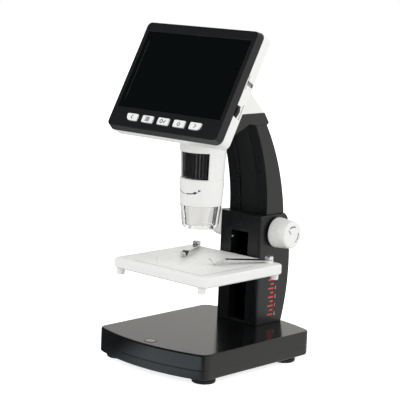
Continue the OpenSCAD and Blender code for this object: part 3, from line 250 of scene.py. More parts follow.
def clear(name, colour, rough, ior, streaks=0.003, coat=0.0):
    """Clear glass or acrylic with the faintest haze and upright streaks."""
    material, tree, shader = new_material(name)
    tint(tree, shader, noise(tree, 6, 0.5, (1, 1, 0.03)), colour, streaks)
    shader.inputs["Transmission Weight"].default_value = 1
    shader.inputs["IOR"].default_value = ior
    shader.inputs["Coat Weight"].default_value = coat
    shader.inputs["Coat Roughness"].default_value = 0.02
    haze = spread(tree, noise(tree, 2, 4), rough * 0.5, rough * 1.5)
    tree.links.new(haze, shader.inputs["Roughness"])
    grain(tree, shader, noise(tree, 4, 2), 0.003)
    return material


def black_glass(name, colour, rough):
    """Cover glass over a dark display."""
    material, tree, shader = new_material(name)
    tint(tree, shader, noise(tree, 30), colour, 0.15)
    haze = spread(tree, noise(tree, 12, 4), rough * 0.7, rough * 1.4)
    tree.links.new(haze, shader.inputs["Roughness"])
    grain(tree, shader, noise(tree, 25, 1), 0.002)
    return material


def circuit(name, colour):
    """Board lacquer with copper tracks under it."""
    material, tree, shader = new_material(name)
    tracks = tree.nodes.new("ShaderNodeTexBrick")
    place = tree.nodes.new("ShaderNodeTexCoord")
    tracks.inputs["Scale"].default_value = 1 / (2.5 * MM)
    tracks.inputs["Color1"].default_value = [*colour, 1]
    tracks.inputs["Color2"].default_value = [c * 1.35 for c in colour] + [1]
    tracks.inputs["Mortar"].default_value = [c * 0.6 for c in colour] + [1]
    tree.links.new(place.outputs["Object"], tracks.inputs["Vector"])
    tree.links.new(tracks.outputs["Color"], shader.inputs["Base Color"])
    gloss = spread(tree, noise(tree, 3, 3), 0.25, 0.45)
    tree.links.new(gloss, shader.inputs["Roughness"])
    return material


# Colours are scene linear, roughness follows the colour
BLACK_TOP = plastic("black_top", (0.0050, 0.0053, 0.0058), 0.17, grain_depth=0.0012, rough_change=0.02)
BLACK = plastic("black_moulding", (0.0055, 0.0062, 0.0070), 0.30, grain_depth=0.003)
DARK = plastic("dark_moulding", (0.0075, 0.008, 0.0085), 0.42, grain_depth=0.003)
BEZEL = plastic("bezel_moulding", (0.0100, 0.0112, 0.0122), 0.42, grain_depth=0.005)
WHITE = plastic("white_moulding", (0.83, 0.833, 0.812), 0.33, change=0.012, grain_depth=0.002)
STAGE_WHITE = plastic("stage_moulding", (0.83, 0.835, 0.815), 0.38, change=0.005, rough_change=0.03,
                      grain_depth=0.0008, specular=0.22)
INSERT_WHITE = plastic("insert_moulding", (0.85, 0.855, 0.835), 0.30, change=0.005, rough_change=0.03,
                       grain_size=0.4, grain_depth=0.0006, specular=0.25)
KEY = plastic("key_moulding", (0.86, 0.87, 0.87), 0.28, change=0.02, grain_size=0.25, grain_depth=0.002)
RIBBED = plastic("ribbed_moulding", (0.012, 0.0122, 0.0135), 0.20, change=0.1, grain_depth=0.003,
                 specular=0.85)
RUBBER = rubber("rubber", (0.012, 0.012, 0.012), 0.62)
STEEL = metal("steel", (0.56, 0.57, 0.58), 0.3)
SHAFT_STEEL = metal("shaft_steel", (0.62, 0.63, 0.64), 0.22, brush=(0.05, 1, 1))
CLIP_STEEL = metal("clip_steel", (0.80, 0.80, 0.80), 0.10, brush=(1, 0.08, 1), brush_size=0.2,
                   brush_depth=0.001)
CHROME = metal("chrome", (0.92, 0.92, 0.93), 0.06, brush=(1, 1, 0.2), brush_size=0.3, brush_depth=0.0006,
               change=0.02, metallic=0.85)
BRASS = metal("brass", (0.68, 0.50, 0.22), 0.28, brush=(0.1, 1, 1))
DARK_METAL_AND_SLOT_SHADE = metal("dark_metal", (0.035, 0.036, 0.038), 0.36)
BADGE_METAL = metal("badge_metal", (0.27, 0.27, 0.27), 0.22)
DISPLAY = black_glass("display_glass", (0.0010, 0.0016, 0.0015), 0.04)
# Paler copy of the bezel moulding: painted light on the screen frame's lower bevel
BEZEL_PAINTED_LIGHT = plastic("bezel_painted_light", (0.045, 0.046, 0.047), 0.5, grain_depth=0.005)
LINE_GREY = plastic("line_grey", (0.07, 0.07, 0.07), 0.4)
PORT_GREY = plastic("port_grey", (0.36, 0.36, 0.35), 0.4)
PANEL = plastic("panel_grey", (0.10, 0.105, 0.11), 0.4)
BOARD = circuit("circuit_green", (0.012, 0.09, 0.04))
WHITE_BOARD = plastic("white_board", (0.72, 0.72, 0.69), 0.35)
LAMP = plastic("lamp_yellow", (0.80, 0.74, 0.36), 0.25)
WRAP = plastic("battery_wrap", (0.30, 0.31, 0.33), 0.3)
FILM = plastic("ribbon_film", (0.42, 0.20, 0.045), 0.3)
LENS = clear("lens_glass", (0.93, 0.96, 0.98), 0.01, ior=1.6)
# Real acrylic has an index of 1.49; this lower one was chosen for the cap's look
ACRYLIC = clear("clear_acrylic", (0.940, 0.943, 0.943), 0.015, ior=1.12, streaks=0.045, coat=1.0)
PRINT_GREY = plastic("print_grey", (0.035, 0.035, 0.035), 0.4)
PRINT_SOFT = plastic("print_soft_grey", (0.20, 0.20, 0.195), 0.4)
PRINT_BLACK = plastic("print_black", (0.008, 0.008, 0.009), 0.4)
PRINT_RED = plastic("print_red", (0.72, 0.055, 0.028), 0.4)
PRINT_WHITE = plastic("print_white", (0.55, 0.55, 0.53), 0.4)

INSIDE = {
    STEEL: ("base_weight", "base_screws", "guide_screws", "arm_screws", "knob_grub_screws", "stage_screws",
            "host_screws", "usb_port"),
    SHAFT_STEEL: ("focus_shaft",),
    BRASS: ("drive_pinion", "lift_rack"),
    # The card socket takes this dark metal as painted shade, so that the card slot looks dark inside
    DARK_METAL_AND_SLOT_SHADE: ("carriage_keeper", "guide_tube", "lens_barrel", "card_socket"),
    PANEL: ("lcd_panel", "dimmer_pot"),
    BOARD: ("main_board", "button_board", "sensor_board"),
    WHITE_BOARD: ("led_board",),
    LAMP: ("white_leds",),
    WRAP: ("battery",),
    FILM: ("camera_ribbon",),
    LENS: ("objective_lenses",),
}


def dress_inside():
    """Gives the pieces that keep their CAD shape their finish."""
    for material, members in INSIDE.items():
        for node in members:
            for place in nodes[node].material_slots:
                place.material = material


# ---------- base ----------

BASE_FRONT_R = 144
BASE_BACK_R = 145
BASE_CORNER_R = 7
BASE_ARC_STEPS = 12
TOP_ROUND = 1.2
TRAY_ROUND = 1.4
SEAM_IN = 0.22
SEAM_LIP = 0.3
SEAM_SOFT = 0.05


def base_outline(inset):
    """The base seen from above: straight sides, bowed front and back, round corners."""
    low, high, _ = span("base_top_cover")
    half = high.x - inset
    front, back = low.y, high.y
    front_r, back_r = BASE_FRONT_R - inset, BASE_BACK_R - inset
    across = [blend_number(-half, half, i / BASE_ARC_STEPS) for i in range(BASE_ARC_STEPS + 1)]
    corner = BASE_CORNER_R - inset
    ends = (0, BASE_ARC_STEPS)
    front_side = [(x, BASE_FRONT_R + front - math.sqrt(front_r ** 2 - x ** 2), corner if i in ends else 0)
                  for i, x in enumerate(across)]
    back_side = [(x, back - BASE_BACK_R + math.sqrt(back_r ** 2 - x ** 2), corner if i in ends else 0)
                 for i, x in enumerate(reversed(across))]
    return rounded(front_side + back_side)


def base_ring(inset, z):
    """The base's outline at one height."""
    return [mm(p.x, p.y, z) for p in base_outline(inset)]


def edge_profile(outer, top, radius, steps=5):
    """(inset, height) pairs of a rounded upper edge."""
    return [(outer + radius * (1 - math.cos(math.pi / 2 * i / steps)),
             top - radius * (1 - math.sin(math.pi / 2 * i / steps))) for i in range(steps + 1)]


def base_cover():
    """Top cover with a round upper edge and a softened seam below."""
    low, high, _ = span("base_top_cover")
    profile = [(SEAM_IN + SEAM_LIP, low.z), (SEAM_IN, low.z), (SEAM_SOFT, low.z + SEAM_IN),
               (0, low.z + SEAM_IN * 2)]
    profile += edge_profile(0, high.z, TOP_ROUND)
    bm = bmesh.new()
    loft(bm, [base_ring(inset, z) for inset, z in profile])
    piece("base_cover_skin", bm, "stand", BLACK_TOP, ("base_top_cover",))


def base_tray():
    """Tray with a round lower edge and a softened seam above."""
    low, high, _ = span("base_tray")
    turned = reversed(edge_profile(0, low.z + TRAY_ROUND, TRAY_ROUND))
    profile = [(inset, 2 * low.z + TRAY_ROUND - z) for inset, z in turned]
    profile += [(0, high.z - SEAM_IN * 2), (SEAM_SOFT, high.z - SEAM_IN), (SEAM_IN, high.z)]
    bm = bmesh.new()
    loft(bm, [base_ring(inset, z) for inset, z in profile])
    piece("base_tray_skin", bm, "stand", BLACK, ("base_tray",))


def badge():
    """Round badge: a domed disc in a dark rim."""
    low, high, middle = span("base_badge")
    radius = (high.x - low.x) / 2
    rim, slack, bevel, gap, count = 0.55, 0.01, 0.12, 0.12, 64
    bm = bmesh.new()
    profile = [(radius - slack, low.z), (radius - slack, high.z - bevel), (radius - 0.15, high.z),
               (radius - rim, high.z), (radius - rim - 0.1, high.z - 0.1)]
    loft(bm, [lathe_ring(r, z, middle, count) for r, z in profile])
    piece("badge_rim", bm, "stand", DARK, ("base_badge",))
    bm = bmesh.new()
    inner = radius - rim - gap
    dome = [(inner, high.z - 0.2), (inner, high.z - 0.08), (inner * 0.75, high.z - 0.02),
            (inner * 0.4, high.z), (inner * 0.1, high.z)]
    loft(bm, [lathe_ring(r, z, middle, count) for r, z in dome])
    piece("badge_face", bm, "stand", BADGE_METAL)


# ---------- round pieces ----------

def lathe_ring(radius, z, centre, count, ribs=0, depth=0.0, sharpness=1.0):
    """Ring about an upright axis; ribs cut depth millimetres into it."""
    ring = []
    for i in range(count):
        turn = 2 * math.pi * i / count
        reach = radius - depth * (0.5 - 0.5 * math.cos(ribs * turn)) ** sharpness
        ring.append(mm(centre.x + reach * math.cos(turn), centre.y + reach * math.sin(turn), z))
    return ring


KNOB_RIBS = 65
KNOB_RIB_DEPTH = 0.50
KNOB_TAPER = 1.1
KNOB_FOOT = 0.7
KNOB_FACE_ROUND = 1.7
KNOB_SIDE_STEPS = 14
KNOB_ROUND_STEPS = 6


def knob_places(side):
    """Inner end, outward direction, length, radius and axis place of a focus knob."""
    low, high, middle = span("focus_knob_" + side)
    out = 1 if side == "right" else -1
    inner = low.x if out > 0 else high.x
    return inner, out, high.x - low.x, (high.z - low.z) / 2, middle


def knob(side):
    """Tapering knob, finely ribbed near the column and plain towards its round face."""
    inner, out, length, radius, middle = knob_places(side)
    face_radius = radius - KNOB_TAPER
    count = KNOB_RIBS * 6

    def ring(r, along, depth):
        made = []
        for i in range(count):
            turn = 2 * math.pi * i / count
            reach = r - depth * (0.5 - 0.5 * math.cos(KNOB_RIBS * turn))
            across, up = reach * math.cos(turn), reach * math.sin(turn)
            made.append(mm(inner + out * along, middle.y + across, middle.z + up))
        return made

    straight = length - KNOB_FACE_ROUND
    rings = [ring(radius - 1.2, 0, 0), ring(radius - 0.55, 0, 0.2), ring(radius - 0.15, 0.25, KNOB_RIB_DEPTH),
             ring(radius, KNOB_FOOT, KNOB_RIB_DEPTH)]
    for i in range(1, KNOB_SIDE_STEPS + 1):
        t = i / KNOB_SIDE_STEPS
        fade = 1 - smooth_step((t - 0.35) / 0.6)
        rings.append(ring(blend_number(radius, face_radius, t), blend_number(KNOB_FOOT, straight, t),
                          KNOB_RIB_DEPTH * fade))
    for i in range(1, KNOB_ROUND_STEPS + 1):
        turn = math.pi / 2 * i / KNOB_ROUND_STEPS
        rings.append(ring(face_radius - KNOB_FACE_ROUND * (1 - math.cos(turn)),
                          straight + KNOB_FACE_ROUND * math.sin(turn), 0))
    rings.append(ring(face_radius * 0.3, length, 0))
    bm = bmesh.new()
    loft(bm, rings)
    piece(f"knob_{side}_skin", bm, "focus_drive", WHITE, ("focus_knob_" + side,), 40)


def focus_wheel():
    """Ribbed wheel behind the head's window."""
    low, high, middle = span("focus_wheel")
    set_back, bore = 0.35, 8.12
    radius = (high.x - low.x) / 2 - set_back
    ribs, depth, sharpness = 30, 0.75, 1.6
    end, bevel = 0.5, 0.15
    count = ribs * 10
    outer = [(radius - end, low.z), (radius - bevel, low.z + bevel), (radius, low.z + end),
             (radius, high.z - end), (radius - bevel, high.z - bevel), (radius - end, high.z)]
    rings = [lathe_ring(bore, high.z, middle, count), lathe_ring(bore, low.z, middle, count)]
    rings += [lathe_ring(r, z, middle, count, ribs, depth, sharpness) for r, z in outer]
    bm = bmesh.new()
    loft(bm, rings, closed=True)
    piece("focus_wheel_skin", bm, "image_wheel", RIBBED, ("focus_wheel",), 50)


def clip_posts():
    """Chromed posts with ribbed heads; the ribs are fewer than in the solids."""
    low, high, _ = span("clip_posts")
    ribs, radius, pin, head = 9, 3.0, 1.5, 2.3
    head_low = high.z - head
    bm = bmesh.new()
    for side in (-1, 1):
        centre = Vector((side * (high.x - radius), (low.y + high.y) / 2, 0))
        profile = [(pin, low.z, 0), (pin, head_low, 0), (radius - 0.25, head_low, 0.2),
                   (radius, head_low + 0.25, 0.3), (radius, high.z - 0.3, 0.3), (radius - 0.3, high.z, 0.2),
                   (radius - 1.1, high.z, 0)]
        loft(bm, [lathe_ring(r, z, centre, ribs * 8, ribs, depth, 0.8) for r, z, depth in profile])
    piece("clip_post_skin", bm, "stage", CHROME, ("clip_posts",), 40)


def clip_bushes():
    """White bushes that the posts turn in."""
    low, high, _ = span("clip_bushes")
    radius, bore, edge = 3.0, 1.56, 0.25
    bm = bmesh.new()
    for side in (-1, 1):
        centre = Vector((side * (high.x - radius), (low.y + high.y) / 2, 0))
        profile = [(bore, high.z), (bore, low.z), (radius, low.z), (radius, high.z - edge),
                   (radius - edge, high.z)]
        loft(bm, [lathe_ring(r, z, centre, 48) for r, z in profile], closed=True)
    piece("clip_bush_skin", bm, "stage", WHITE, ("clip_bushes",))


def clear_cap():
    """Clear cap that narrows to its rim, with a thicker wall than in the solids."""
    low, high, middle = span("clear_cap")
    rim, knee, belly, top = 11.2, 13.4, 13.9, 15.0
    wall, seat = 3.3, low.z + 17.2
    spigot = 13.4
    outer = [(rim - 1.9, low.z + 0.05), (rim - 1.0, low.z), (rim - 0.2, low.z + 0.12),
             (rim + 0.5, low.z + 0.5), (rim + 1.1, low.z + 1.1), (rim + 1.6, low.z + 1.9),
             (rim + 1.95, low.z + 2.9), (knee, low.z + 4.2), (knee + 0.15, low.z + 6.0),
             (belly, low.z + 9.6), (top - 0.08, seat - 0.2), (top - 0.25, seat)]
    inner = [(spigot, seat), (spigot, high.z), (spigot - 1.4, high.z), (belly - wall, low.z + 9.6),
             (knee - wall - 0.1, low.z + 3.2), (knee - wall - 0.5, low.z + 2.6), (rim - 2.4, low.z + 2.4),
             (rim - 2.6, low.z + 2.2), (rim - 2.5, low.z + 0.3)]
    bm = bmesh.new()
    loft(bm, [lathe_ring(r, z, middle, 128) for r, z in outer + inner], closed=True)
    piece("clear_cap_skin", bm, "cap", ACRYLIC, ("clear_cap",), 30)


def feet():
    """Rubber feet with a soft lower edge and a waist under the tray."""
    low, high, _ = span("rubber_feet")
    radius, neck, top = 8.4, 0.35, 4.1
    profile = [(radius - 1.5, low.z), (radius - 0.7, low.z + 0.12), (radius - 0.2, low.z + 0.5),
               (radius, low.z + 1.1), (radius, low.z + 2.6), (radius - neck, low.z + 2.9),
               (radius - neck, top)]
    bm = bmesh.new()
    for x in (low.x + radius, high.x - radius):
        for y in (low.y + radius, high.y - radius):
            loft(bm, [lathe_ring(r, z, Vector((x, y, 0)), 64) for r, z in profile])
    piece("feet_skin", bm, "stand", RUBBER, ("rubber_feet",))


# ---------- printed marks ----------

def stroke(bm, path, width, surface):
    """Thin raised line along a path drawn in the surface's own two directions."""
    rows = []
    for i, point in enumerate(path):
        way = path[min(i + 1, len(path) - 1)] - path[max(i - 1, 0)]
        side = Vector((-way.y, way.x)).normalized() * width / 2
        rows.append([(point + side, PRINT_OVER), (point - side, PRINT_OVER),
                     (point - side, -PRINT_UNDER), (point + side, -PRINT_UNDER)])
    loft(bm, [[surface(p.x, p.y, height) for p, height in row] for row in rows])


def patch(bm, outline, surface):
    """Thin raised patch with the given outline."""
    loft(bm, [[surface(p.x, p.y, height) for p in outline] for height in (-PRINT_UNDER, PRINT_OVER)])


def points(*pairs):
    """Points in the plane from pairs of numbers."""
    return [Vector(pair) for pair in pairs]


def arrow_head(bm, tip, way, length, width, surface):
    """Flat triangle with its tip at a point, looking the given way."""
    way = way.normalized()
    side = Vector((-way.y, way.x)) * width / 2
    foot = tip - way * length
    patch(bm, [tip, foot + side, foot - side], surface)


def on_face(u, v, depth):
    """Point on the tilted screen: u to the right, v up the face, depth inwards, in millimetres."""
    return mm(u, FACE_Y + v * math.sin(SCREEN_TILT) + depth * math.cos(SCREEN_TILT),
              FACE_Z + v * math.cos(SCREEN_TILT) - depth * math.sin(SCREEN_TILT))


KEYS = ("back", "menu", "ok", "power", "next")
KEY_PITCH = 15
KEY_MIDDLE_V = 7.8
KEY_PROUD = 0.8
MARK_TOP = 1.35
MARK_RING = 1.15


def key_marks():
    """A generic symbol on each key: arrows, a list, a ring with a tick, and a power sign."""
    for place, name in enumerate(KEYS):
        u = (place - 2) * KEY_PITCH

        def surface(x, y, height, u=u):
            return on_face(u + x, KEY_MIDDLE_V + y, -KEY_PROUD - height)

        bm = bmesh.new()
        line = 0.55
        if name in ("back", "next"):
            way = -1 if name == "back" else 1
            stroke(bm, points((-0.8 * way, MARK_TOP), (0.85 * way, 0.02)), line, surface)
            stroke(bm, points((0.85 * way, -0.02), (-0.8 * way, -MARK_TOP)), line, surface)
        elif name == "menu":
            for row in range(4):
                y = MARK_TOP - row * 0.9
                stroke(bm, points((-1.1, y), (1.9, y)), line, surface)
                stroke(bm, points((-2.0, y), (-1.5, y)), line, surface)
        elif name == "ok":
            stroke(bm, arc(MARK_RING, 0, 360, 32, (-1.5, 0)), line, surface)
            stroke(bm, points((0.3, 0.1), (1.0, -1.1), (2.4, 1.3)), line, surface)
        else:
            stroke(bm, arc(MARK_RING, 130, 410, 28, (0, -0.25)), line, surface)
            stroke(bm, points((0, 1.5), (0, 0.1)), line, surface)
        piece(f"key_mark_{name}", bm, "key_" + name, PRINT_BLACK)


SLEEVE_LOW_Z, SLEEVE_HIGH_Z = 115.0, 129.5
SLEEVE_LOW_R, SLEEVE_HIGH_R = 15.0, 16.1


def sleeve_surface(turn, z, height):
    """Place on the sleeve: turn in degrees from the front towards the right."""
    share = min(max((z - SLEEVE_LOW_Z) / (SLEEVE_HIGH_Z - SLEEVE_LOW_Z), 0), 1)
    radius = blend_number(SLEEVE_LOW_R, SLEEVE_HIGH_R, share) + height
    angle = math.radians(turn)
    return mm(radius * math.sin(angle), AXIS_Y - radius * math.cos(angle), z)


def band(bm, path, widths, surface):
    """Thin raised line along a path of (turn, height), its widths measured upright."""
    rows = []
    for point, width in zip(path, widths):
        half = Vector((0, width / 2))
        up, down = point + half, point - half
        corners = ((up, PRINT_OVER), (down, PRINT_OVER), (down, -PRINT_UNDER), (up, -PRINT_UNDER))
        rows.append([surface(p.x, p.y, height) for p, height in corners])
    loft(bm, rows)


def sleeve_marks():
    """Curved arrow round the front of the sleeve, one stroke falling and one rising to its heads."""
    bm = bmesh.new()
    steps, head_steps = 12, 6
    fall_width, rise_width, tip_width = 0.45, 0.7, 0.2
    falling = [Vector((-34 + 28 * i / steps, 126.6 - 3.0 * math.sin(math.pi / 2 * i / steps)))
               for i in range(steps + 1)]
    rising = [Vector((-1 + 27 * i / steps, 123.75 + 1.05 * (i / steps) ** 2)) for i in range(steps + 1)]
    band(bm, falling, [fall_width] * (steps + 1), sleeve_surface)
    band(bm, rising, [rise_width] * (steps + 1), sleeve_surface)
    for start, end, height, width in ((22.5, 32.5, 124.7, 2.2), (34.0, 41.0, 126.4, 1.6)):
        head = [Vector((blend_number(start, end, i / head_steps), height + 0.5 * i / head_steps))
                for i in range(head_steps + 1)]
        widths = [blend_number(width, tip_width, i / head_steps) for i in range(head_steps + 1)]
        band(bm, head, widths, sleeve_surface)
    piece("sleeve_marks", bm, "stand", PRINT_BLACK)


def knob_marks():
    """Two curved arrows on a knob's face, with a pointer line inside the first."""
    for side in ("left", "right"):
        inner, out, length, _, middle = knob_places(side)

        def surface(x, y, height):
            return mm(inner + out * (length + height), middle.y + out * x, middle.z + y)

        bm = bmesh.new()
        radius, steps = 6.1, 16
        head_length, head_width = 1.7, 1.3
        for start, end, width in ((66, 126, 0.8), (10, -44, 0.75)):
            stroke(bm, arc(radius, start, end, steps), width, surface)
        stroke(bm, points((-5.1, 4.0), (-2.3, 0.7)), 0.6, surface)
        for turn in (128, -66):
            tip = arc(radius, turn, turn, 1)[0]
            way = Vector((-tip.y, tip.x)) * (1 if turn > 0 else -1)
            arrow_head(bm, tip, way, head_length, head_width, surface)
        piece(f"knob_{side}_marks", bm, "focus_drive", PRINT_GREY)


def tick_length(number):
    """Length of a scale's tick: longest at every tenth, longer at every fifth."""
    return 2.2 if number % 10 == 0 else 1.5 if number % 5 == 0 else 0.9


def stage_marks():
    """Printed scales along the stage's front and right edges."""
    low, high, _ = span("stage_plate")
    front_inset, right_inset = 6.0, 9.0
    line_width, tick_width, gap, thin = 0.3, 0.22, 0.16, 0.6

    def surface(x, y, height):
        return mm(x, y, high.z + height * thin)

    bm = bmesh.new()
    front = low.y + front_inset
    right = high.x - right_inset
    stroke(bm, points((-29, front), (right + line_width / 2, front)), line_width, surface)
    stroke(bm, points((right, front + gap), (right, 19 + AXIS_Y)), line_width, surface)
    for x in range(-28, 37):
        stroke(bm, points((x, front - gap), (x, front - tick_length(x))), tick_width, surface)
    for y in range(-35, 19):
        place = y + AXIS_Y
        stroke(bm, points((right + gap, place), (right + tick_length(y), place)), tick_width, surface)
    piece("stage_scales", bm, "stage", PRINT_SOFT)


def column_scale():
    """Plain height scale on the column's right side: red bars with white figures."""
    _, high, _ = span("column_housing")
    side_x = high.x

    def surface(x, y, height):
        return mm(side_x + height, x, y)

    bm = bmesh.new()
    low_z, step, bars, thick = 28.9, 3.3, 11, 1.15
    long_y, short_y, end_y, figure_y = 44.6, 47.0, 50.5, 52.7
    figure_size = 3.4
    for i in range(bars):
        z = low_z + i * step
        start = long_y if i % 2 == 0 else short_y
        stroke(bm, points((start, z), (end_y, z)), thick, surface)
    piece("scale_bars", bm, "stand", PRINT_RED)
    for i in range(0, bars, 2):
        z = low_z + i * step
        words = bpy.data.curves.new(f"figure_{i}", "FONT")
        words.body = str(i // 2)
        words.size = figure_size * MM
        words.extrude = PRINT_OVER * MM
        words.align_x = words.align_y = "CENTER"
        holder = bpy.data.objects.new(f"figure_{i}", words)
        mesh = bpy.data.meshes.new_from_object(holder)
        bpy.data.objects.remove(holder)
        upright = Matrix.Rotation(math.pi / 2, 4, "X") @ Matrix.Rotation(math.pi / 2, 4, "Y")
        mesh.transform(Matrix.Translation(mm(side_x, figure_y, z)) @ upright)
        bm = bmesh.new()
        bm.from_mesh(mesh)
        piece(f"scale_figure_{i // 2}", bm, "stand", PRINT_WHITE)


PORT_V, PORT_HEIGHT = 45.0, 3.1
PORT_DEPTH, PORT_LENGTH = 7.1, 6.5


def port_tongue():
    """Pale insulator inside the metal socket."""
    _, high, _ = span("usb_port")
    wall_v, wall_d, bevel = 0.75, 0.85, 0.15
    rings = []
    for inset, u in ((0, high.x - 5.6), (0, high.x - 0.5), (bevel, high.x - 0.3)):
        v0, v1 = PORT_V + wall_v + inset, PORT_V + PORT_HEIGHT - wall_v - inset
        d0, d1 = PORT_DEPTH + wall_d + inset, PORT_DEPTH + PORT_LENGTH - wall_d - inset
        rings.append([on_face(u, v, d) for v, d in ((v0, d0), (v1, d0), (v1, d1), (v0, d1))])
    bm = bmesh.new()
    loft(bm, rings)
    piece("port_tongue", bm, BODY_OF["usb_port"], PORT_GREY)


def display_line():
    """Faint grey hairline under the glass at the left of the display."""
    bm = bmesh.new()
    line_u, low_v, high_v = -44.3, 20, 67
    glass_depth, thin = 0.1, 0.5

    def surface(x, y, height):
        return on_face(x, y, glass_depth - height * thin)

    stroke(bm, points((line_u, low_v), (line_u, high_v)), 0.16, surface)
    piece("display_line", bm, "stand", LINE_GREY)


# ---------- shells that keep the CAD's shape with rounded edges ----------

SOFTENED = (
    ("column_housing", 0.45, BLACK),
    ("guide_plate", 0.15, DARK),
    ("stop_screw", 0.12, CHROME),
    ("arm_shell", 0.35, BLACK),
    ("arm_front_cover", 0.12, DARK),
    ("arm_hood", 0.4, BLACK),
    ("shaft_bushes", 0.2, DARK),
    ("stage_carriage", 0.25, DARK),
    ("stage_plate", 0.35, STAGE_WHITE),
    ("stage_disc", 0.12, INSERT_WHITE),
    ("stage_pegs", 0.3, WHITE),
    ("clip_left", 0.1, CLIP_STEEL),
    ("clip_right", 0.1, CLIP_STEEL),
    ("display_glass", 0.12, DISPLAY),
    ("screen_rear_shell", 0.1, WHITE),
    ("button_back", 0.25, KEY),
    ("button_menu", 0.25, KEY),
    ("button_ok", 0.25, KEY),
    ("button_power", 0.25, KEY),
    ("button_next", 0.25, KEY),
    ("dimmer_wheel", 0.08, DARK),
    ("head_housing", 0.2, WHITE),
    ("head_sleeve", 0.15, WHITE),
)


def bezel():
    """Screen frame; its lower bevel carries painted light: a paler colour than the face, and a duller gloss.
    """
    made = softened("screen_bezel", 0.3, BEZEL)
    made.data.materials.append(BEZEL_PAINTED_LIGHT)
    # Faces that look down and ahead take the paler copy as painted light
    for face in made.data.polygons:
        looks_down, looks_ahead = face.normal.z < -0.1, face.normal.y < -0.6
        if looks_down and looks_ahead:
            face.material_index = 1


# ---------- studio ----------

CAMERA_PLACE = Vector((0.706049, -0.789379, 0.290837))
CAMERA_TURN = math.radians(42.2794)
CAMERA_LIFT = math.radians(9.3596)
CAMERA_ROLL = math.radians(2.4890)
CAMERA_LENS = 134.418
CAMERA_SENSOR = 36
CAMERA_NEAREST = 0.05
CAMERA_FARTHEST = 20


def camera():
    """The viewing angle of the picture, with its slight roll."""
    data = bpy.data.cameras.new("camera")
    data.lens = CAMERA_LENS
    data.sensor_width = CAMERA_SENSOR
    data.clip_start = CAMERA_NEAREST
    data.clip_end = CAMERA_FARTHEST
    holder = bpy.data.objects.new("camera", data)
    level = math.cos(CAMERA_LIFT)
    back = Vector((math.sin(CAMERA_TURN) * level, -math.cos(CAMERA_TURN) * level, math.sin(CAMERA_LIFT)))
    right = Vector((math.cos(CAMERA_TURN), math.sin(CAMERA_TURN), 0))
    up = back.cross(right)
    rolled_right = right * math.cos(CAMERA_ROLL) + up * math.sin(CAMERA_ROLL)
    rolled_up = up * math.cos(CAMERA_ROLL) - right * math.sin(CAMERA_ROLL)
    turn = Matrix((rolled_right, rolled_up, back)).transposed().to_4x4()
    holder.matrix_world = Matrix.Translation(CAMERA_PLACE) @ turn
    scene.collection.objects.link(holder)
    scene.camera = holder


LAMP_TARGET = Vector((0, 0, 0.1))
LAMP_SIZE = 0.9


def area_lamp(name, place, power):
    """White square lamp that looks at the object and that mirrors don't show."""
    data = bpy.data.lights.new(name, "AREA")
    data.shape = "RECTANGLE"
    data.size = LAMP_SIZE
    data.size_y = LAMP_SIZE
    data.energy = power
    holder = bpy.data.objects.new(name, data)
    holder.visible_glossy = False
    turn = (LAMP_TARGET - place).to_track_quat("-Z", "Y").to_matrix().to_4x4()
    holder.matrix_world = Matrix.Translation(place) @ turn
    scene.collection.objects.link(holder)


# The room round the object, as light: its strengths, and where they change away from the viewer and upwards
ROOM_FRONT = 1.52
ROOM_BACK = 1.20
ROOM_TOP = 0.38
ROOM_AWAY = (-0.8, 0.8)
ROOM_RISE = (0.3, 1.0)

# The room that mirrors show in place of the white backdrop, fitted to the picture's reflections
MIRROR_BRIGHT = 0.86
MIRROR_DARK = 0.05
MIRROR_TOP = 0.05
MIRROR_NEAR = 1.25
MIRROR_AWAY = (-0.45, 0.55)
MIRROR_RISE = (0.62, 0.82)
WARM = (1.0, 0.985, 0.945, 1)
COOL = (0.88, 1.0, 1.08, 1)
HUE_AWAY = (-0.4, 0.2)
AWAY_FROM_VIEWER = (0.42, 0.88, 0.22)
AWAY_ON_FLOOR = (0.42, 0.88, 0)

# The floor, in metres: its grey, the light it sends to the camera, and what mirrors show of it
FLOOR_GREY = (0.8, 0.8, 0.8, 1)
FLOOR_GLOW = 0.78
FLOOR_HALF = 3.0
FLOOR_THICK = 0.01
NEAR_MIDDLE = (0.012, -0.13, 0)
NEAR_FADE = (0.035, 0.10)
FLOOR_AWAY = (-0.06, -0.01)


def new_node(tree, kind, **settings):
    """New shader node with its settings."""
    made = tree.nodes.new("ShaderNode" + kind)
    for name, value in settings.items():
        setattr(made, name, value)
    return made


def ramp(tree, value, start, end, low, high):
    """Smooth step of a value from one level to another."""
    made = new_node(tree, "MapRange", interpolation_type="SMOOTHSTEP")
    for name, number in (("From Min", start), ("From Max", end), ("To Min", low), ("To Max", high)):
        made.inputs[name].default_value = number
    tree.links.new(value, made.inputs["Value"])
    return made.outputs["Result"]


def mix_colour(tree, factor, first, second):
    """Colour between two, by a factor."""
    made = new_node(tree, "Mix", data_type="RGBA")
    tree.links.new(factor, made.inputs[0])
    made.inputs[6].default_value, made.inputs[7].default_value = first, second
    return made.outputs[2]


def mix_shader(tree, factor, first, second):
    """The first shader at factor 0 and the second at 1."""
    made = new_node(tree, "MixShader")
    tree.links.new(factor, made.inputs["Fac"])
    tree.links.new(first, made.inputs[1])
    tree.links.new(second, made.inputs[2])
    return made.outputs[0]


def combine(tree, operation, first, second):
    """One value from two, such as their product or the larger of them."""
    made = new_node(tree, "Math", operation=operation)
    tree.links.new(first, made.inputs[0])
    tree.links.new(second, made.inputs[1])
    return made.outputs[0]


def seen_directly(tree, rays):
    """1 for rays from the camera, also through glass, and 0 for all others."""
    return combine(tree, "MAXIMUM", rays.outputs["Is Camera Ray"], rays.outputs["Is Transmission Ray"])


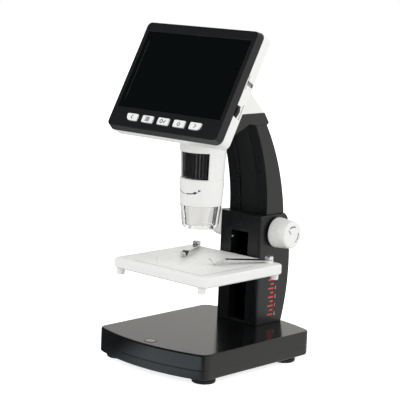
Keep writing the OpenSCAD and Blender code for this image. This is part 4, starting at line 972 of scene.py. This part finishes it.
def studio_world():
    """White backdrop for the camera; a pale room for light; for mirrors one dim overhead and in front."""
    world = bpy.data.worlds.new("studio")
    scene.world = world
    world.use_nodes = True
    tree = world.node_tree
    tree.nodes.clear()
    out = new_node(tree, "OutputWorld")
    rays = new_node(tree, "LightPath")
    place = new_node(tree, "TexCoord")
    along = new_node(tree, "VectorMath", operation="DOT_PRODUCT")
    along.inputs[1].default_value = AWAY_FROM_VIEWER
    tree.links.new(place.outputs["Generated"], along.inputs[0])
    parts = new_node(tree, "SeparateXYZ")
    tree.links.new(place.outputs["Generated"], parts.inputs["Vector"])
    away, height = along.outputs["Value"], parts.outputs["Z"]
    room = combine(tree, "MULTIPLY", ramp(tree, away, *ROOM_AWAY, ROOM_FRONT, ROOM_BACK),
                   ramp(tree, height, *ROOM_RISE, 1.0, ROOM_TOP))
    mirror = combine(tree, "MULTIPLY", ramp(tree, away, *MIRROR_AWAY, MIRROR_DARK, MIRROR_BRIGHT),
                     ramp(tree, height, *MIRROR_RISE, 1.0, MIRROR_TOP))
    diffuse, glossy, white = (new_node(tree, "Background") for _ in range(3))
    tree.links.new(room, diffuse.inputs["Strength"])
    tree.links.new(mirror, glossy.inputs["Strength"])
    for background in (diffuse, white):
        background.inputs["Color"].default_value = (1, 1, 1, 1)
    hue = mix_colour(tree, ramp(tree, away, *HUE_AWAY, 0, 1), COOL, WARM)
    tree.links.new(hue, glossy.inputs["Color"])
    mirrored = mix_shader(tree, rays.outputs["Is Glossy Ray"], diffuse.outputs[0], glossy.outputs[0])
    seen = seen_directly(tree, rays)
    tree.links.new(mix_shader(tree, seen, mirrored, white.outputs[0]), out.inputs["Surface"])


def floor():
    """Pale floor: shadowed, lifted to white for the camera; in mirrors bright behind and right in front."""
    material = bpy.data.materials.new("floor_white")
    material.use_nodes = True
    tree = material.node_tree
    tree.nodes.clear()
    out = new_node(tree, "OutputMaterial")
    rays = new_node(tree, "LightPath")
    matt = new_node(tree, "BsdfDiffuse")
    matt.inputs["Color"].default_value = FLOOR_GREY
    nothing, glow, mirrored = (new_node(tree, "Emission") for _ in range(3))
    nothing.inputs["Strength"].default_value = 0
    glow.inputs["Strength"].default_value = FLOOR_GLOW
    place = new_node(tree, "TexCoord")
    behind = new_node(tree, "VectorMath", operation="DOT_PRODUCT")
    behind.inputs[1].default_value = AWAY_ON_FLOOR
    near = new_node(tree, "VectorMath", operation="DISTANCE")
    near.inputs[1].default_value = NEAR_MIDDLE
    tree.links.new(place.outputs["Object"], behind.inputs[0])
    tree.links.new(place.outputs["Object"], near.inputs[0])
    far = ramp(tree, behind.outputs["Value"], *FLOOR_AWAY, 0, 1)
    tree.links.new(mix_colour(tree, far, COOL, WARM), mirrored.inputs["Color"])
    far_level = ramp(tree, behind.outputs["Value"], *FLOOR_AWAY, MIRROR_DARK, MIRROR_BRIGHT)
    near_level = ramp(tree, near.outputs["Value"], *NEAR_FADE, MIRROR_NEAR, MIRROR_DARK)
    level = combine(tree, "MAXIMUM", far_level, near_level)
    tree.links.new(level, mirrored.inputs["Strength"])
    seen = seen_directly(tree, rays)
    total = new_node(tree, "AddShader")
    tree.links.new(matt.outputs[0], total.inputs[0])
    tree.links.new(mix_shader(tree, seen, nothing.outputs[0], glow.outputs[0]), total.inputs[1])
    surface = mix_shader(tree, rays.outputs["Is Glossy Ray"], total.outputs[0], mirrored.outputs[0])
    tree.links.new(surface, out.inputs["Surface"])
    bm = bmesh.new()
    corners = ((-1, -1), (1, -1), (1, 1), (-1, 1))
    loft(bm, [[Vector((x * FLOOR_HALF, y * FLOOR_HALF, z)) for x, y in corners] for z in (-FLOOR_THICK, 0.0)])
    mesh = bpy.data.meshes.new("floor")
    bmesh.ops.recalc_face_normals(bm, faces=bm.faces)
    bm.to_mesh(mesh)
    bm.free()
    mesh.materials.append(material)
    ground = bpy.data.objects.new("floor", mesh)
    scene.collection.objects.link(ground)


scene.view_settings.view_transform = "Standard"
dress_inside()
base_cover()
base_tray()
badge()
feet()
for node, width, material in SOFTENED:
    softened(node, width, material)
bezel()
for side in ("left", "right"):
    knob(side)
focus_wheel()
clip_posts()
clip_bushes()
clear_cap()
key_marks()
sleeve_marks()
knob_marks()
stage_marks()
column_scale()
port_tongue()
display_line()
camera()
studio_world()
area_lamp("key_lamp", Vector((0.9, 0.5, 1.3)), power=5.0)
area_lamp("fill_lamp", Vector((-1.1, 0.7, 1.0)), power=2.5)
floor()
